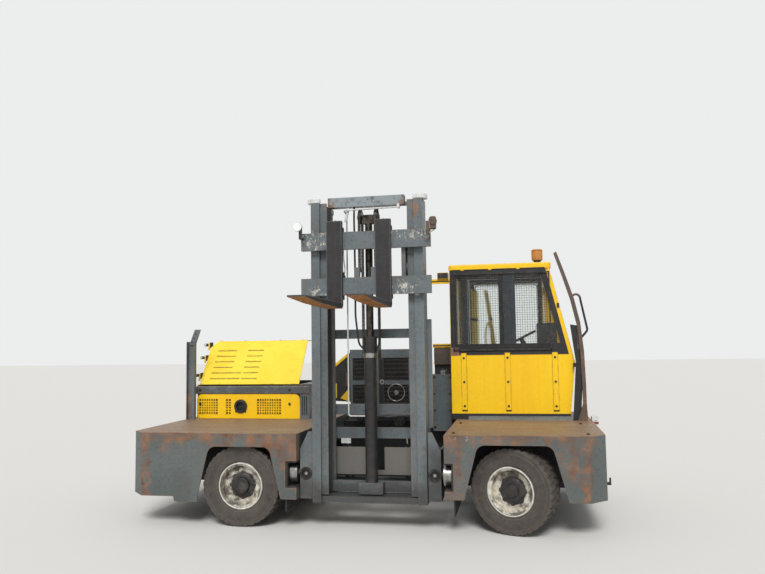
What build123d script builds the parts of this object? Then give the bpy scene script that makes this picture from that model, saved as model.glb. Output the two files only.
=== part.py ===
from build123d import *
import os
from math import cos, hypot, radians, sin

# Side loader forklift: a low platform truck whose mast stands in a central well.
# Lengths are millimetres. X runs towards the cab, Y from the loading face to the far side, Z up.
# Each function builds in vehicle places, where Y is 0 at the loading face and Z is 0 on the ground.
# At the end every node is moved so that the middle of the footprint is the origin.

# Platform and chassis
rear_end = -2168
front_end = 2168
overall_width = 2250
deck_depth = 1225
deck_top = 844
plate = 12
corner_cut = 150
rear_skirt_bottom = 269
front_skirt_bottom = 299
well_rear = -517
well_front = 808
well_depth = 1780
beam_bottom = 560
beam_width = 100
near_beam_y = 640
far_beam_y = 1500
low_member_bottom = 150
low_member_height = 60
rib_depth = 52
front_lamp = 62

# Wheel arches: half widths at the foot and at the crown
rear_arch_foot = 400
rear_arch_crown = 290
rear_arch_top = 725
front_arch_x = 1410
front_arch_foot = 445
front_arch_crown = 312
front_arch_top = 764
arch_corner = 80
apron_bottom = 300

# Wheels and axles
tyre_radius = 366
tyre_width = 235
tyre_sides = 40
tyre_shoulder = 8
bead_radius = 190.5
rim_flange_radius = 212
rim_wall = 12
wheel_inset = 50
rear_axle_x = -1065
hub_radius = 88
hub_inner = 40
hub_outer = 60
disc_place = -20
spindle_radius = 42
running_gap = 0.08
axle_tube_radius = 62

# Steering
kingpin_x = 1452
kingpin_offset = 148
kingpin_radius = 22
steer_rest = -20
steer_arm = 170
yoke_half = 84
yoke_plate = 22

# Engine end
hood_rear = -2080
hood_front = -916
hood_foot_y = 1352
hood_foot_z = 1216
hood_crest_y = 1700
hood_top = 1700
hood_skin = 8
hood_chamfer = 70
hood_back_length = 860
panel_y = 1290
panel_front = -887
panel_bottom = 846
panel_top = 1113
rail_height = 88
bay_front = -780
post_back = 1216
outlet_place = 516
hood_pin = 5
hood_open = 55

# Cab
cab_rear = 761
cab_near_y = 1335
cab_floor = 905
cab_foot_x = 1968
cab_knee_x = 2026
cab_knee_z = 1428
cab_head_x = 1795
roof_bottom = 2412
roof_thickness = 54
cab_wall = 40
sill = 1535
window_margin = 28
strip_places = (108, 560, 1040)
strip_width = 54
pillar_width = 62
glass = 6
door_rear = 905
door_front = 1765
door_bottom = 935
door_gap = 6
door_handle = 30
hinge_pin = 5
hinge_heights = (1080, 2180)
seat_half = 205
lever_box = 90

# Mast
mast_x = 132
mast_front = 70
mast_depth = 230
mast_foot = 233
mast_head = 2950
cap_thickness = 34
cap_overhang = 40
outer_half = 519
outer_web = 20
flange = 22
outer_flange = 81
slide_gap = 5
inner_half = 376
inner_flange = 18
inner_flange_width = 117
inner_foot = 300
pad_gap = 0.3
tilt_y = 175
tilt_z = 340
tilt_pin_radius = 30
lift_barrel_radius = 38
lift_rod_radius = 24
lift_half = 404
lift_y = 340

# Free-lift cylinder, crosshead and chains
ram_radius = 56
ram_y = 200
ram_foot = 400
ram_collar = 1515
ram_head = 1708
ram_rod_radius = 34
free_lift = 1950
sheave_radius = 62
sheave_half = 75
chain_width = 30
chain_thickness = 10

# Fork carriage and forks
bar_half = 596
bar_front = 12
bar_thickness = 46
upper_bar = (2497, 2657)
lower_bar = (2082, 2241)
fork_width = 140
fork_thickness = 50
fork_length = 1120
fork_heel_z = 1960
fork_head_z = 2753
fork_tip = 14
rear_fork_x = -140
front_fork_x = 307

# Reach frame and its rails
cheek_half = 640
cheek_thickness = 16
roller_radius = 100
roller_inner = 662
roller_outer = 730
roller_z = 484
roller_rows = (160, 520)
rail_plate = 15
rail_clearance = 6
wing_top = 857
wing_front = 92
frame_rear = 600

# Parts that are worked out from the sizes above
axle_z = tyre_radius
near_wheel_y = wheel_inset + tyre_width / 2
far_wheel_y = overall_width - near_wheel_y
near_kingpin_y = near_wheel_y + kingpin_offset
far_kingpin_y = overall_width - near_kingpin_y
cab_far_y = overall_width
hinge_x = door_front - door_gap / 2
hinge_y = cab_far_y + 9
cab_top = roof_bottom + roof_thickness
mast_back = mast_front + mast_depth
beam_low = mast_head - 37
beam_high = mast_head + 53
crosshead_z = mast_head - 198
rail_low = roller_z - roller_radius - pad_gap
rail_high = roller_z + roller_radius + rail_clearance
rail_web = roller_outer + rail_clearance
fork_face = bar_front - fork_thickness
fork_tip_y = fork_face - fork_length
tilt_base = (frame_rear - 35, 430)
tilt_eye = (mast_back + 132, 800)
tilt_length = hypot(tilt_eye[0] - tilt_base[0], tilt_eye[1] - tilt_base[1])
tilt_dir = ((tilt_eye[0] - tilt_base[0]) / tilt_length, (tilt_eye[1] - tilt_base[1]) / tilt_length)
hood_hinge_y = overall_width - 21
hood_hinge_places = (hood_rear + 180, hood_rear + 640)
outlet_x = hood_rear + outlet_place
rail_side = rail_web + rail_plate
origin_x = (rear_end + front_end + front_lamp) / 2
origin_y = (fork_tip_y + overall_width + door_handle) / 2


# Small builders
def block(x0, x1, y0, y1, z0, z1):
    """Box between two corners."""
    return Pos((x0 + x1) / 2, (y0 + y1) / 2, (z0 + z1) / 2) * Box(abs(x1 - x0), abs(y1 - y0), abs(z1 - z0))


def along_x(points, x0, x1):
    """Outline of (y, z) points pulled from x0 to x1."""
    face = Plane.YZ.offset(x0) * make_face(Polyline(*points, close=True))
    return extrude(face, amount=x1 - x0, dir=(1, 0, 0))


def along_y(points, y0, y1):
    """Outline of (x, z) points pulled from y0 to y1."""
    face = Plane.XZ.offset(-y0) * make_face(Polyline(*points, close=True))
    return extrude(face, amount=y1 - y0, dir=(0, 1, 0))


def along_z(points, z0, z1):
    """Outline of (x, y) points pulled from z0 to z1."""
    face = Plane.XY.offset(z0) * make_face(Polyline(*points, close=True))
    return extrude(face, amount=z1 - z0, dir=(0, 0, 1))


def rod(start, end, radius):
    """Round bar between two points."""
    direction = Vector(*end) - Vector(*start)
    base = Plane(origin=start, z_dir=direction)
    return extrude(base * Circle(radius), amount=direction.length)


def spun(points, centre):
    """Outline of (y, radius) points turned about an axle that runs along Y through the centre."""
    ring = revolve(Plane.YZ * make_face(Polyline(*points, close=True)), Axis.Y, 360)
    return Pos(*centre) * ring


def both_sides(make):
    """The two mirror-image pieces at equal distances from the mast's middle plane."""
    return [make(-1), make(1)]


def across(side, half):
    """X of a place that lies half away from the mast's middle plane."""
    return mast_x + side * half


def group(parts):
    """Several solids that share a node."""
    return Compound([solid for part in parts for solid in part.solids()])


# Chassis
def platform_plan(x_outer, x_inner):
    """Plan of one platform, with both outer corners cut off."""
    turn = corner_cut if x_outer < x_inner else -corner_cut
    return [
        (x_inner, 0),
        (x_outer + turn, 0),
        (x_outer, corner_cut),
        (x_outer, overall_width - corner_cut),
        (x_outer + turn, overall_width),
        (x_inner, overall_width),
    ]


def arch(sizes, y0, y1):
    """Wheel arch opening through a skirt, with rounded upper corners."""
    x_mid, foot_half, crown_half, crown_z = sizes
    opening = along_y(
        [
            (x_mid - foot_half, 0),
            (x_mid - foot_half, rear_skirt_bottom),
            (x_mid - crown_half, crown_z),
            (x_mid + crown_half, crown_z),
            (x_mid + foot_half, rear_skirt_bottom),
            (x_mid + foot_half, 0),
        ],
        y0,
        y1,
    )
    crown = opening.edges().filter_by(Axis.Y).group_by(Axis.Z)[-1]
    return fillet(crown, arch_corner)


def platform_body(x_outer, x_inner, bottom, arch_sizes):
    """Hollow platform body, open below, with arches, a slot for the rail and ribs under the deck."""
    plan = make_face(Polyline(*platform_plan(x_outer, x_inner), close=True))
    shell = extrude(Plane.XY.offset(bottom) * plan, amount=deck_top - bottom, dir=(0, 0, 1))
    inner_plan = offset(plan, -plate, kind=Kind.INTERSECTION)
    depth = deck_top - plate - bottom + 1
    shell -= extrude(Plane.XY.offset(bottom - 1) * inner_plan, amount=depth, dir=(0, 0, 1))
    shell -= arch(arch_sizes, -1, plate + 1)
    shell -= arch(arch_sizes, overall_width - plate - 1, overall_width + 1)
    slot_low = rail_low - rail_plate
    slot_high = rail_high + rail_plate
    low_x, high_x = sorted((x_inner - plate - 1, x_inner + plate + 1))
    shell -= block(low_x, high_x, -1, well_depth, slot_low, slot_high)
    rail_back = across(1 if x_inner > mast_x else -1, rail_side)
    shell -= block(rail_back, x_inner, -1, plate + 1, slot_low, slot_high)
    crossing = well_depth + 2
    under_ribs = deck_top - plate - rib_depth
    shell -= block(low_x, high_x, crossing - 0.3, crossing + beam_width + 0.3, bottom - 1, under_ribs + 0.3)
    length = x_inner - x_outer
    rib_low, rib_high = sorted((x_outer + length * 0.08, x_inner - length * 0.01))
    for rib_y in (330, 1000):
        shell += block(rib_low, rib_high, rib_y, rib_y + plate, under_ribs, deck_top - plate)
    return shell


def rear_deck():
    """Rear platform, open over the engine bay, with a lip below its near skirt."""
    sizes = (rear_axle_x, rear_arch_foot, rear_arch_crown, rear_arch_top)
    body = platform_body(rear_end, well_rear, rear_skirt_bottom, sizes)
    foot = rear_axle_x - rear_arch_foot
    lip = [(foot - 235, rear_skirt_bottom + 1), (foot - 225, 224), (foot, 224), (foot, rear_skirt_bottom + 1)]
    body += along_y(lip, 0, plate)
    x0, x1 = hood_rear + 60, bay_front - 60
    return body - block(x0, x1, hood_foot_y + 30, overall_width - 80, deck_top - 200, deck_top + 1)


def front_deck():
    sizes = (front_arch_x, front_arch_foot, front_arch_crown, front_arch_top)
    return platform_body(front_end, well_front, front_skirt_bottom, sizes)


def mast_rails():
    """Two channels, open towards the well, in which the reach frame's rollers run."""

    def channel(side):
        web_out = across(side, rail_side)
        web_in = across(side, rail_web)
        wall = well_front if side > 0 else well_rear
        lip = wall
        section = [
            (web_out, rail_low - rail_plate),
            (lip, rail_low - rail_plate),
            (lip, rail_low),
            (web_in, rail_low),
            (web_in, rail_high),
            (lip, rail_high),
            (lip, rail_high + rail_plate),
            (web_out, rail_high + rail_plate),
        ]
        return along_y(section, plate + 2, well_depth)

    return group(both_sides(channel))


def chassis_frame():
    """Beams under the platforms, cheeks beside the well and the low members that cross it."""
    beam_top = deck_top - plate - rib_depth
    rear_face, front_face = across(-1, rail_side), across(1, rail_side)
    end_y = overall_width - 60
    frame = block(rear_face - beam_width, rear_face, near_beam_y, end_y, beam_bottom, beam_top)
    frame += block(front_face, front_face + beam_width * 0.7, near_beam_y, end_y, beam_bottom, beam_top)
    runs = ((rear_end + plate, rear_face - 10), (front_face + 10, front_end - plate))
    for x0, x1 in runs:
        for beam_y in (near_beam_y, far_beam_y):
            frame += block(x0, x1, beam_y, beam_y + beam_width, beam_bottom, beam_top)
        for apron_y in (near_beam_y, far_beam_y + beam_width - plate):
            frame += block(x0, x1, apron_y, apron_y + plate, apron_bottom, beam_bottom + 1)
    low_top = low_member_bottom + low_member_height
    back = well_depth + 2
    for side, face in ((-1, rear_face), (1, front_face)):
        x0, x1 = sorted((face, face + side * plate))
        frame += block(x0, x1, 40, back + beam_width - 2, low_member_bottom, beam_bottom + 60)
    for member_y in (1200, 1640):
        frame += block(rear_face, front_face, member_y, member_y + 90, low_member_bottom, low_top)
    frame += block(rear_face, front_face, back, back + beam_width, low_member_bottom, beam_top)
    seat_low = axle_z + axle_tube_radius - 20
    for axle_x in (rear_axle_x, kingpin_x):
        for pad_y in (near_beam_y + 10, far_beam_y + 10):
            pad = block(axle_x - 70, axle_x + 70, pad_y, pad_y + beam_width - 20, seat_low, beam_bottom + 10)
            frame += pad
    frame -= rod((rear_axle_x, 0, axle_z), (rear_axle_x, overall_width, axle_z), axle_tube_radius)
    x0, x1 = kingpin_x - 75, kingpin_x + 75
    frame -= block(x0, x1, 0, overall_width, axle_z - axle_tube_radius, axle_z + axle_tube_radius)
    return frame


def kick_plate():
    """Sloping plate between the front platform and the cab's foot."""
    back = cab_near_y - 0.3
    outline = [
        (deck_depth + 5, deck_top),
        (deck_depth + 25, deck_top),
        (back, cab_floor - 38),
        (back, cab_floor - 24),
    ]
    return along_x(outline, cab_rear + 175, cab_foot_x + 10)


def fuel_tank():
    """Tank on the far side between the wheels, with a filler neck."""
    x0 = well_rear + 20
    x1 = well_front - 20
    y0 = well_depth + beam_width + 12
    tank = block(x0, x1, y0, overall_width - 10, 300, 820)
    tank = fillet(tank.edges().filter_by(Axis.X), 40)
    bracket = block(x0 + 200, x1 - 200, well_depth + 2 + beam_width, y0 + 1, 420, 700)
    neck = rod((x0 + 150, overall_width - 90, 819), (x0 + 150, overall_width - 90, 860), 38)
    return tank + bracket + neck


# Wheels, built with the outer side towards -Y and the axle through the origin
def tyre_at_origin():
    """Tyre of many flat sides, with a round seat and a recess for each rim flange."""
    half = tyre_width / 2
    seat = half - 20
    outside = Plane.XZ.offset(half) * RegularPolygon(tyre_radius, tyre_sides)
    tyre = extrude(outside, amount=tyre_width, dir=(0, 1, 0))
    ends = tyre.faces().sort_by(Axis.Y)
    tyre = chamfer(ends[0].edges() + ends[-1].edges(), tyre_shoulder)
    recess = RegularPolygon(rim_flange_radius + 1.5, tyre_sides, major_radius=False)
    for y0, y1 in ((-half - 1, -seat), (seat, half + 1)):
        tyre -= extrude(Plane.XZ.offset(-y0) * recess, amount=y1 - y0, dir=(0, 1, 0))
    return tyre - rod((0, -half, 0), (0, half, 0), bead_radius)


def rim_at_origin(cap_length, cap_radius):
    """Barrel with two flanges, dished disc, and hub with a blind bore for the spindle."""
    half = tyre_width / 2
    seat = half - 20
    inner = bead_radius - rim_wall
    barrel = [
        (-seat, bead_radius),
        (-half + 14, rim_flange_radius),
        (-half + 2, rim_flange_radius),
        (-half + 2, rim_flange_radius - 16),
        (-half + 16, inner),
        (half - 16, inner),
        (half - 2, rim_flange_radius - 16),
        (half - 2, rim_flange_radius),
        (half - 14, rim_flange_radius),
        (seat, bead_radius),
    ]
    disc = [
        (disc_place - 8, hub_radius - 5),
        (disc_place - 34, hub_radius + 42),
        (disc_place - 34, inner + 2),
        (disc_place - 18, inner + 2),
        (disc_place - 18, hub_radius + 48),
        (disc_place + 8, hub_radius),
    ]
    bore = spindle_radius + running_gap
    hub = [
        (hub_inner, bore),
        (hub_inner, hub_radius),
        (-hub_outer, hub_radius),
        (-hub_outer - 8, hub_radius - 10),
        (-hub_outer - 8, cap_radius),
        (-hub_outer - cap_length, cap_radius - 4),
        (-hub_outer - cap_length, 0),
        (-hub_outer + 12, 0),
        (-hub_outer + 12, bore),
    ]
    return spun(barrel, (0, 0, 0)) + spun(disc, (0, 0, 0)) + spun(hub, (0, 0, 0))


def wheel_place(corner):
    """Where each wheel stands: rear ones square, front ones turned about their kingpins."""
    places = {
        "rear_near": Pos(rear_axle_x, near_wheel_y, axle_z),
        "rear_far": Pos(rear_axle_x, far_wheel_y, axle_z) * Rot(0, 0, 180),
        "front_near": Pos(kingpin_x, near_kingpin_y, axle_z)
        * Rot(0, 0, steer_rest)
        * Pos(0, -kingpin_offset, 0),
        "front_far": Pos(kingpin_x, far_kingpin_y, axle_z)
        * Rot(0, 0, steer_rest)
        * Pos(0, kingpin_offset, 0)
        * Rot(0, 0, 180),
    }
    return places[corner]


def tyre(corner):
    return wheel_place(corner) * tyre_at_origin()


def rim(corner):
    if corner.startswith("rear"):
        return wheel_place(corner) * rim_at_origin(42, 66)
    return wheel_place(corner) * rim_at_origin(24, 50)


# Axles
def drive_axle():
    """Tube with a round differential housing and a spindle at each end."""
    tube_end = near_wheel_y + hub_inner + 6
    mid = overall_width / 2
    far_end = overall_width - tube_end
    axle = rod((rear_axle_x, tube_end, axle_z), (rear_axle_x, far_end, axle_z), axle_tube_radius)
    bulge = [(mid - 190, 0), (mid - 190, 80), (mid - 110, 150), (mid + 110, 150), (mid + 190, 80)]
    bulge.append((mid + 190, 0))
    axle += spun(bulge, (rear_axle_x, 0, axle_z))
    near_tip = near_wheel_y - hub_outer + 16
    far_tip = overall_width - near_tip
    axle += rod((rear_axle_x, near_tip, axle_z), (rear_axle_x, far_tip, axle_z), spindle_radius)
    for flange_y in (tube_end, far_end - 18):
        axle += rod((rear_axle_x, flange_y, axle_z), (rear_axle_x, flange_y + 18, axle_z), hub_radius)
    return axle


def steer_axle():
    """Box beam with an eye at each kingpin and the steering cylinder behind it."""
    half_height = axle_tube_radius - 6
    low, high = axle_z - half_height, axle_z + half_height
    beam = block(kingpin_x - 50, kingpin_x + 50, near_kingpin_y, far_kingpin_y, low, high)
    for pin_y in (near_kingpin_y, far_kingpin_y):
        beam += rod((kingpin_x, pin_y, low), (kingpin_x, pin_y, high), 50)
    for pin_y in (near_kingpin_y, far_kingpin_y):
        bore = kingpin_radius + running_gap
        beam -= rod((kingpin_x, pin_y, axle_z - yoke_half), (kingpin_x, pin_y, axle_z + yoke_half), bore)
    for pad_y in (near_beam_y, far_beam_y):
        beam += block(
            kingpin_x - 70,
            kingpin_x + 70,
            pad_y + 15,
            pad_y + beam_width - 15,
            axle_z + half_height - 5,
            axle_z + axle_tube_radius,
        )
    return beam


def knuckle(pin_y, outward):
    """Yoke round the axle's eye with the kingpin, the wheel spindle and the steering arm."""
    low = axle_z - yoke_half
    high = axle_z + yoke_half
    eye_half = axle_tube_radius - 6 + 2
    web_near = 62
    yoke = block(-42, 42, -48, web_near, -yoke_half, -eye_half)
    yoke += block(-42, 42, -48, web_near, eye_half, yoke_half)
    yoke += block(-42, 42, web_near - 4, web_near + 18, -yoke_half, yoke_half)
    yoke += rod((0, 0, -yoke_half), (0, 0, yoke_half), kingpin_radius)
    reach = kingpin_offset + hub_outer - 16
    yoke += rod((0, web_near + 10, 0), (0, reach, 0), spindle_radius)
    yoke = Rot(0, 0, 0 if outward > 0 else 180) * yoke
    arm = block(-steer_arm, -30, -24, 24, -yoke_half, -yoke_half + yoke_plate)
    arm += rod((-steer_arm, 0, -yoke_half), (-steer_arm, 0, -yoke_half + yoke_plate), 24)
    arm += rod((-steer_arm, 0, -yoke_half - 30), (-steer_arm, 0, -yoke_half + 1), 12)
    arm -= block(-45, 45, -50, 50, -eye_half - 5, eye_half)
    place = Pos(kingpin_x, pin_y, (low + high) / 2) * Rot(0, 0, steer_rest)
    return place * (yoke + arm)


def tie_rod():
    """Bar between the two steering arms, with an eye round each arm's pin."""
    angle = radians(180 + steer_rest)
    pin_x = kingpin_x + steer_arm * cos(angle)
    shift_y = steer_arm * sin(angle)
    z0 = axle_z - yoke_half - 28
    z1 = z0 + 24
    near_y = near_kingpin_y + shift_y
    far_y = far_kingpin_y + shift_y
    bar = rod((pin_x, near_y, (z0 + z1) / 2), (pin_x, far_y, (z0 + z1) / 2), 15)
    for pin_y in (near_y, far_y):
        bar += rod((pin_x, pin_y, z0), (pin_x, pin_y, z1), 26)
    for pin_y in (near_y, far_y):
        bar -= rod((pin_x, pin_y, z0 - 5), (pin_x, pin_y, z1 + 5), 12 + running_gap)
    return bar


# Engine end
def engine():
    """One plain block for the engine, on the beams behind the platform."""
    beam_top = deck_top - plate - rib_depth
    return block(hood_rear + 130, hood_rear + 930, far_beam_y, 1960, beam_top, 1380)


def grille_panel():
    """Lower panel with rounded upper corners, square holes and a round outlet opening."""
    panel = block(hood_rear, panel_front, panel_y, panel_y + plate, panel_bottom, panel_top)
    tops = panel.edges().filter_by(Axis.Y).group_by(Axis.Z)[-1]
    panel = fillet(tops, 60)
    outlet_z = (panel_bottom + panel_top) / 2
    panel -= rod((outlet_x, panel_y - 5, outlet_z), (outlet_x, panel_y + plate + 5, outlet_z), 62)
    return panel


def exhaust_outlet():
    """Short pipe with a collar that shows in the lower panel."""
    outlet_z = (panel_bottom + panel_top) / 2
    pipe = rod((outlet_x, panel_y - 22, outlet_z), (outlet_x, far_beam_y - 40, outlet_z), 56)
    pipe -= rod((outlet_x, panel_y - 30, outlet_z), (outlet_x, panel_y + 120, outlet_z), 50)
    collar = rod((outlet_x, panel_y - 12, outlet_z), (outlet_x, panel_y, outlet_z), 74)
    collar -= rod((outlet_x, panel_y - 20, outlet_z), (outlet_x, panel_y + 5, outlet_z), 55)
    return pipe + collar


def engine_bay():
    """Walls round the engine: far wall, both ends and a ledge that carries the hood."""
    wall_top = hood_foot_z - 0.3
    bay = block(hood_rear, bay_front, overall_width - plate, overall_width, deck_top, wall_top)
    upper_rear = hood_rear + hood_chamfer + 10
    upper_front = hood_rear + hood_back_length
    bay += block(upper_rear, upper_front, overall_width - plate, overall_width, deck_top, hood_top - 10)
    for x in hood_hinge_places:
        bay += block(x, x + 30, hood_hinge_y, overall_width, hood_top - 20, hood_top)
        bay += rod((x, hood_hinge_y, hood_top), (x + 30, hood_hinge_y, hood_top), 9)
        bay += rod((x, hood_hinge_y, hood_top), (x + 60, hood_hinge_y, hood_top), hood_pin)
    bay += block(hood_rear, hood_rear + plate, panel_y + plate, overall_width, deck_top, wall_top)
    bay += block(bay_front - plate, bay_front, panel_y + plate, overall_width, deck_top, wall_top)
    bay += block(panel_front, bay_front, panel_y, panel_y + plate, deck_top, panel_top)
    bay += block(hood_front + 4, bay_front, panel_y + 57, overall_width, wall_top - plate, wall_top)
    rail_top = panel_top + rail_height + 0.3
    return bay - block(hood_rear - 1, bay_front + 1, panel_y - 12, panel_y + 56.3, panel_top, rail_top)


def hood_rail():
    """Grey box rail above the lower panel."""
    top = panel_top + rail_height
    rail = block(hood_rear - 8, bay_front, panel_y - 10, panel_y + 56, panel_top, top)
    return fillet(rail.edges().filter_by(Axis.X), 12)


def hood_corner(x, z, leg):
    """Wedge that takes the upper rear corner off the hood."""
    wedge = [(x - 1, z - leg - 1), (x + leg + 1, z + 1), (x - 1, z + 1)]
    return along_y(wedge, hood_foot_y - 10, overall_width + 10)


def engine_hood():
    """Sloping lid over the engine, open at its front end and hinged along its top on the far side."""
    outline = [
        (hood_foot_y, hood_foot_z),
        (hood_crest_y, hood_top),
        (overall_width - 30, hood_top),
        (overall_width - 30, hood_foot_z),
    ]
    outside = along_x(outline, hood_rear, hood_front)
    outside -= hood_corner(hood_rear, hood_top, hood_chamfer)
    slope = hypot(hood_crest_y - hood_foot_y, hood_top - hood_foot_z)
    inset = hood_skin * slope / (hood_top - hood_foot_z)
    inside_outline = [
        (hood_foot_y + inset, hood_foot_z - 1),
        (hood_crest_y + hood_skin * 0.4, hood_top - hood_skin),
        (overall_width, hood_top - hood_skin),
        (overall_width, hood_foot_z - 1),
    ]
    inside = along_x(inside_outline, hood_rear + hood_skin, hood_front + 1)
    inside -= hood_corner(hood_rear + hood_skin, hood_top - hood_skin, hood_chamfer - 0.586 * hood_skin)
    hood = outside - inside
    for x in hood_hinge_places:
        low = hood_top - hood_skin
        hood += block(x + 30.3, x + 60, overall_width - 40, hood_hinge_y, low, hood_top)
        hood += rod((x + 30.3, hood_hinge_y, hood_top), (x + 60, hood_hinge_y, hood_top), 9)
        bore = hood_pin + running_gap
        hood -= rod((x + 20, hood_hinge_y, hood_top), (x + 70, hood_hinge_y, hood_top), bore)
    return hood


def rear_post():
    """Open channel post at the back corner of the platform, with a leaning bracket on top."""
    x0 = rear_end + 14
    y0 = post_back - 48
    post = block(x0, x0 + 8, y0, post_back, deck_top, 1695)
    post += block(x0, x0 + 96, post_back - 8, post_back, deck_top, 1695)
    post += block(x0 + 88, x0 + 96, y0, post_back, deck_top, 1695)
    lean = [(x0 + 20, 1660), (x0 + 90, 1660), (x0 + 150, 1830), (x0 + 84, 1830)]
    head = along_y(lean, post_back - 20, post_back)
    return post + head


# Behind the mast
def cooler():
    """Cooler housing behind the mast with mesh openings in its near face."""
    x0, x1 = -400, 470
    y0 = well_depth - 160
    y1 = well_depth + beam_width
    z0 = deck_top - plate - rib_depth
    housing = block(x0, x1, y0, y1, z0 + 60, 1580)
    housing += block(x0 + 40, x1 - 40, well_depth + 2, y1, z0, z0 + 61)
    bar_pitch = 46
    # Openings: two X limits, two Z limits
    for px0, px1, pz0, pz1 in (
        (-362, -240, 1250, 1480),
        (-16, 253, 1250, 1480),
        (-362, -240, 996, 1183),
        (-16, 253, 996, 1183),
    ):
        housing -= block(px0, px1, y0 - 1, y0 + 60, pz0, pz1)
        for index in range(int((pz1 - pz0) / bar_pitch)):
            z = pz0 + bar_pitch * (index + 0.5)
            housing += block(px0 - 1, px1 + 1, y0 + 8, y0 + 16, z, z + 14)
    return housing


def hydraulic_tank():
    """Grey tank between the mast and the cab, with a filler cap."""
    x0, x1 = 522, 738
    y0 = well_depth - 170
    beam_top = deck_top - plate - rib_depth
    back = overall_width - 40
    tank = block(x0, x1, y0, back, 690, 1300)
    tank = fillet(tank.edges().filter_by(Axis.Z), 20)
    tank -= block(x0 - 1, x1 + 1, well_depth - 2, back + 1, 680, beam_top)
    tank -= block(x0 - 1, x1 + 1, well_depth + beam_width + 8, back + 1, 680, deck_top)
    cap = rod((x1 - 90, y0 + 80, 1299), (x1 - 90, y0 + 80, 1345), 42)
    return tank + cap


# Cab
def cab_front_x(z):
    """X of the cab's front edge at a height."""
    if z <= cab_knee_z:
        share = (z - cab_floor) / (cab_knee_z - cab_floor)
        return cab_foot_x + share * (cab_knee_x - cab_foot_x)
    share = (z - cab_knee_z) / (roof_bottom - cab_knee_z)
    return cab_knee_x + share * (cab_head_x - cab_knee_x)


def cab_profile(inset=0):
    """Side outline of the cab, drawn in by an inset at the front."""
    return [
        (cab_rear, cab_floor),
        (cab_foot_x - inset, cab_floor),
        (cab_knee_x - inset, cab_knee_z),
        (cab_head_x - inset, roof_bottom),
        (cab_rear, roof_bottom),
    ]


def near_window(grow=0):
    """Window opening in the near wall, wider by grow on every side."""
    low = sill - grow
    high = roof_bottom - window_margin + grow
    return [
        (cab_rear + window_margin - grow, low),
        (cab_front_x(sill) - pillar_width + grow, low),
        (cab_front_x(roof_bottom - window_margin) - pillar_width + grow, high),
        (cab_rear + window_margin - grow, high),
    ]


def cab_near_wall():
    """Near wall with its window cut out and three bolted strips on the lower panel."""
    wall = along_y(cab_profile(), cab_near_y, cab_near_y + cab_wall)
    wall -= along_y(near_window(), cab_near_y - 1, cab_near_y + cab_wall + 1)
    for place in strip_places:
        x = cab_rear + place
        wall += block(x, x + strip_width, cab_near_y - 6, cab_near_y + 1, cab_floor + 25, sill - 4)
    return wall


def cab_far_wall():
    """Far wall, cut away for the door, with two hinge pins."""
    wall = along_y(cab_profile(), cab_far_y - cab_wall, cab_far_y)
    y0 = cab_far_y - cab_wall
    wall -= block(door_rear, door_front, y0 - 1, cab_far_y + 1, door_bottom, roof_bottom - 30)
    for z in hinge_heights:
        wall += block(hinge_x + 3, hinge_x + 40, cab_far_y - 1, hinge_y, z, z + 40)
        wall += rod((hinge_x, hinge_y, z), (hinge_x, hinge_y, z + 40), 9)
        wall += rod((hinge_x, hinge_y, z), (hinge_x, hinge_y, z + 80), hinge_pin)
    return wall


def cab_rear_wall():
    """Wall towards the mast, with the driver's view cut out."""
    near, far = cab_near_y + cab_wall, cab_far_y - cab_wall
    wall = block(cab_rear, cab_rear + cab_wall, near, far, cab_floor, roof_bottom)
    view = block(
        cab_rear - 1,
        cab_rear + cab_wall + 1,
        cab_near_y + cab_wall + 50,
        cab_far_y - cab_wall - 50,
        sill - 250,
        roof_bottom - window_margin - 20,
    )
    return wall - view


def front_strip(inset_low, inset_high, z0, z1):
    """Slice of the cab's front between two heights, as thick as the wall."""
    return [
        (cab_front_x(z0) - inset_high, z0),
        (cab_front_x(z0) - inset_low, z0),
        (cab_front_x(z1) - inset_low, z1),
        (cab_front_x(z1) - inset_high, z1),
    ]


def cab_front_wall():
    """Front wall, bent at the knee, with the windscreen cut out."""
    y0 = cab_near_y + cab_wall
    y1 = cab_far_y - cab_wall
    wall = along_y(front_strip(0, cab_wall, cab_floor, cab_knee_z), y0, y1)
    wall += along_y(front_strip(0, cab_wall, cab_knee_z, roof_bottom), y0, y1)
    cut = front_strip(-40, cab_wall + 40, cab_knee_z + 60, roof_bottom - 60)
    return wall - along_y(cut, y0 + 55, y1 - 55)


def cab_roof():
    """Roof panel with rounded edges."""
    roof = block(cab_rear - 10, cab_head_x + 22, cab_near_y - 8, cab_far_y, roof_bottom, cab_top)
    roof = fillet(roof.edges().filter_by(Axis.Z), 40)
    return fillet(roof.faces().sort_by(Axis.Z)[-1].edges(), 18)


def cab_base():
    """Floor tray that carries the cab on the platform."""
    tray = block(cab_rear, cab_foot_x, cab_near_y, cab_far_y, deck_top, cab_floor)
    x0, x1 = well_front + 30, cab_foot_x - 12
    return tray - block(x0, x1, cab_near_y + 60, cab_far_y - 12, deck_top - 1, cab_floor - 12)


def cab_glass():
    """Fixed panes: two near, one rear and the windscreen."""
    mid = cab_near_y + cab_wall / 2
    panes = along_y(near_window(-24), mid, mid + glass)
    divider_x = cab_rear + 548
    panes -= block(divider_x - 2, divider_x + 50, mid - 10, mid + 20, sill - 20, roof_bottom)
    pane_x = cab_rear + cab_wall / 2
    rear = block(
        pane_x,
        pane_x + glass,
        cab_near_y + cab_wall + 50,
        cab_far_y - cab_wall - 50,
        sill - 250,
        roof_bottom - window_margin - 20,
    )
    half = cab_wall / 2
    screen = along_y(
        front_strip(half, half + glass + 2, cab_knee_z + 60, roof_bottom - 60),
        cab_near_y + cab_wall + 55,
        cab_far_y - cab_wall - 55,
    )
    return group([panes, rear, screen])


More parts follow.
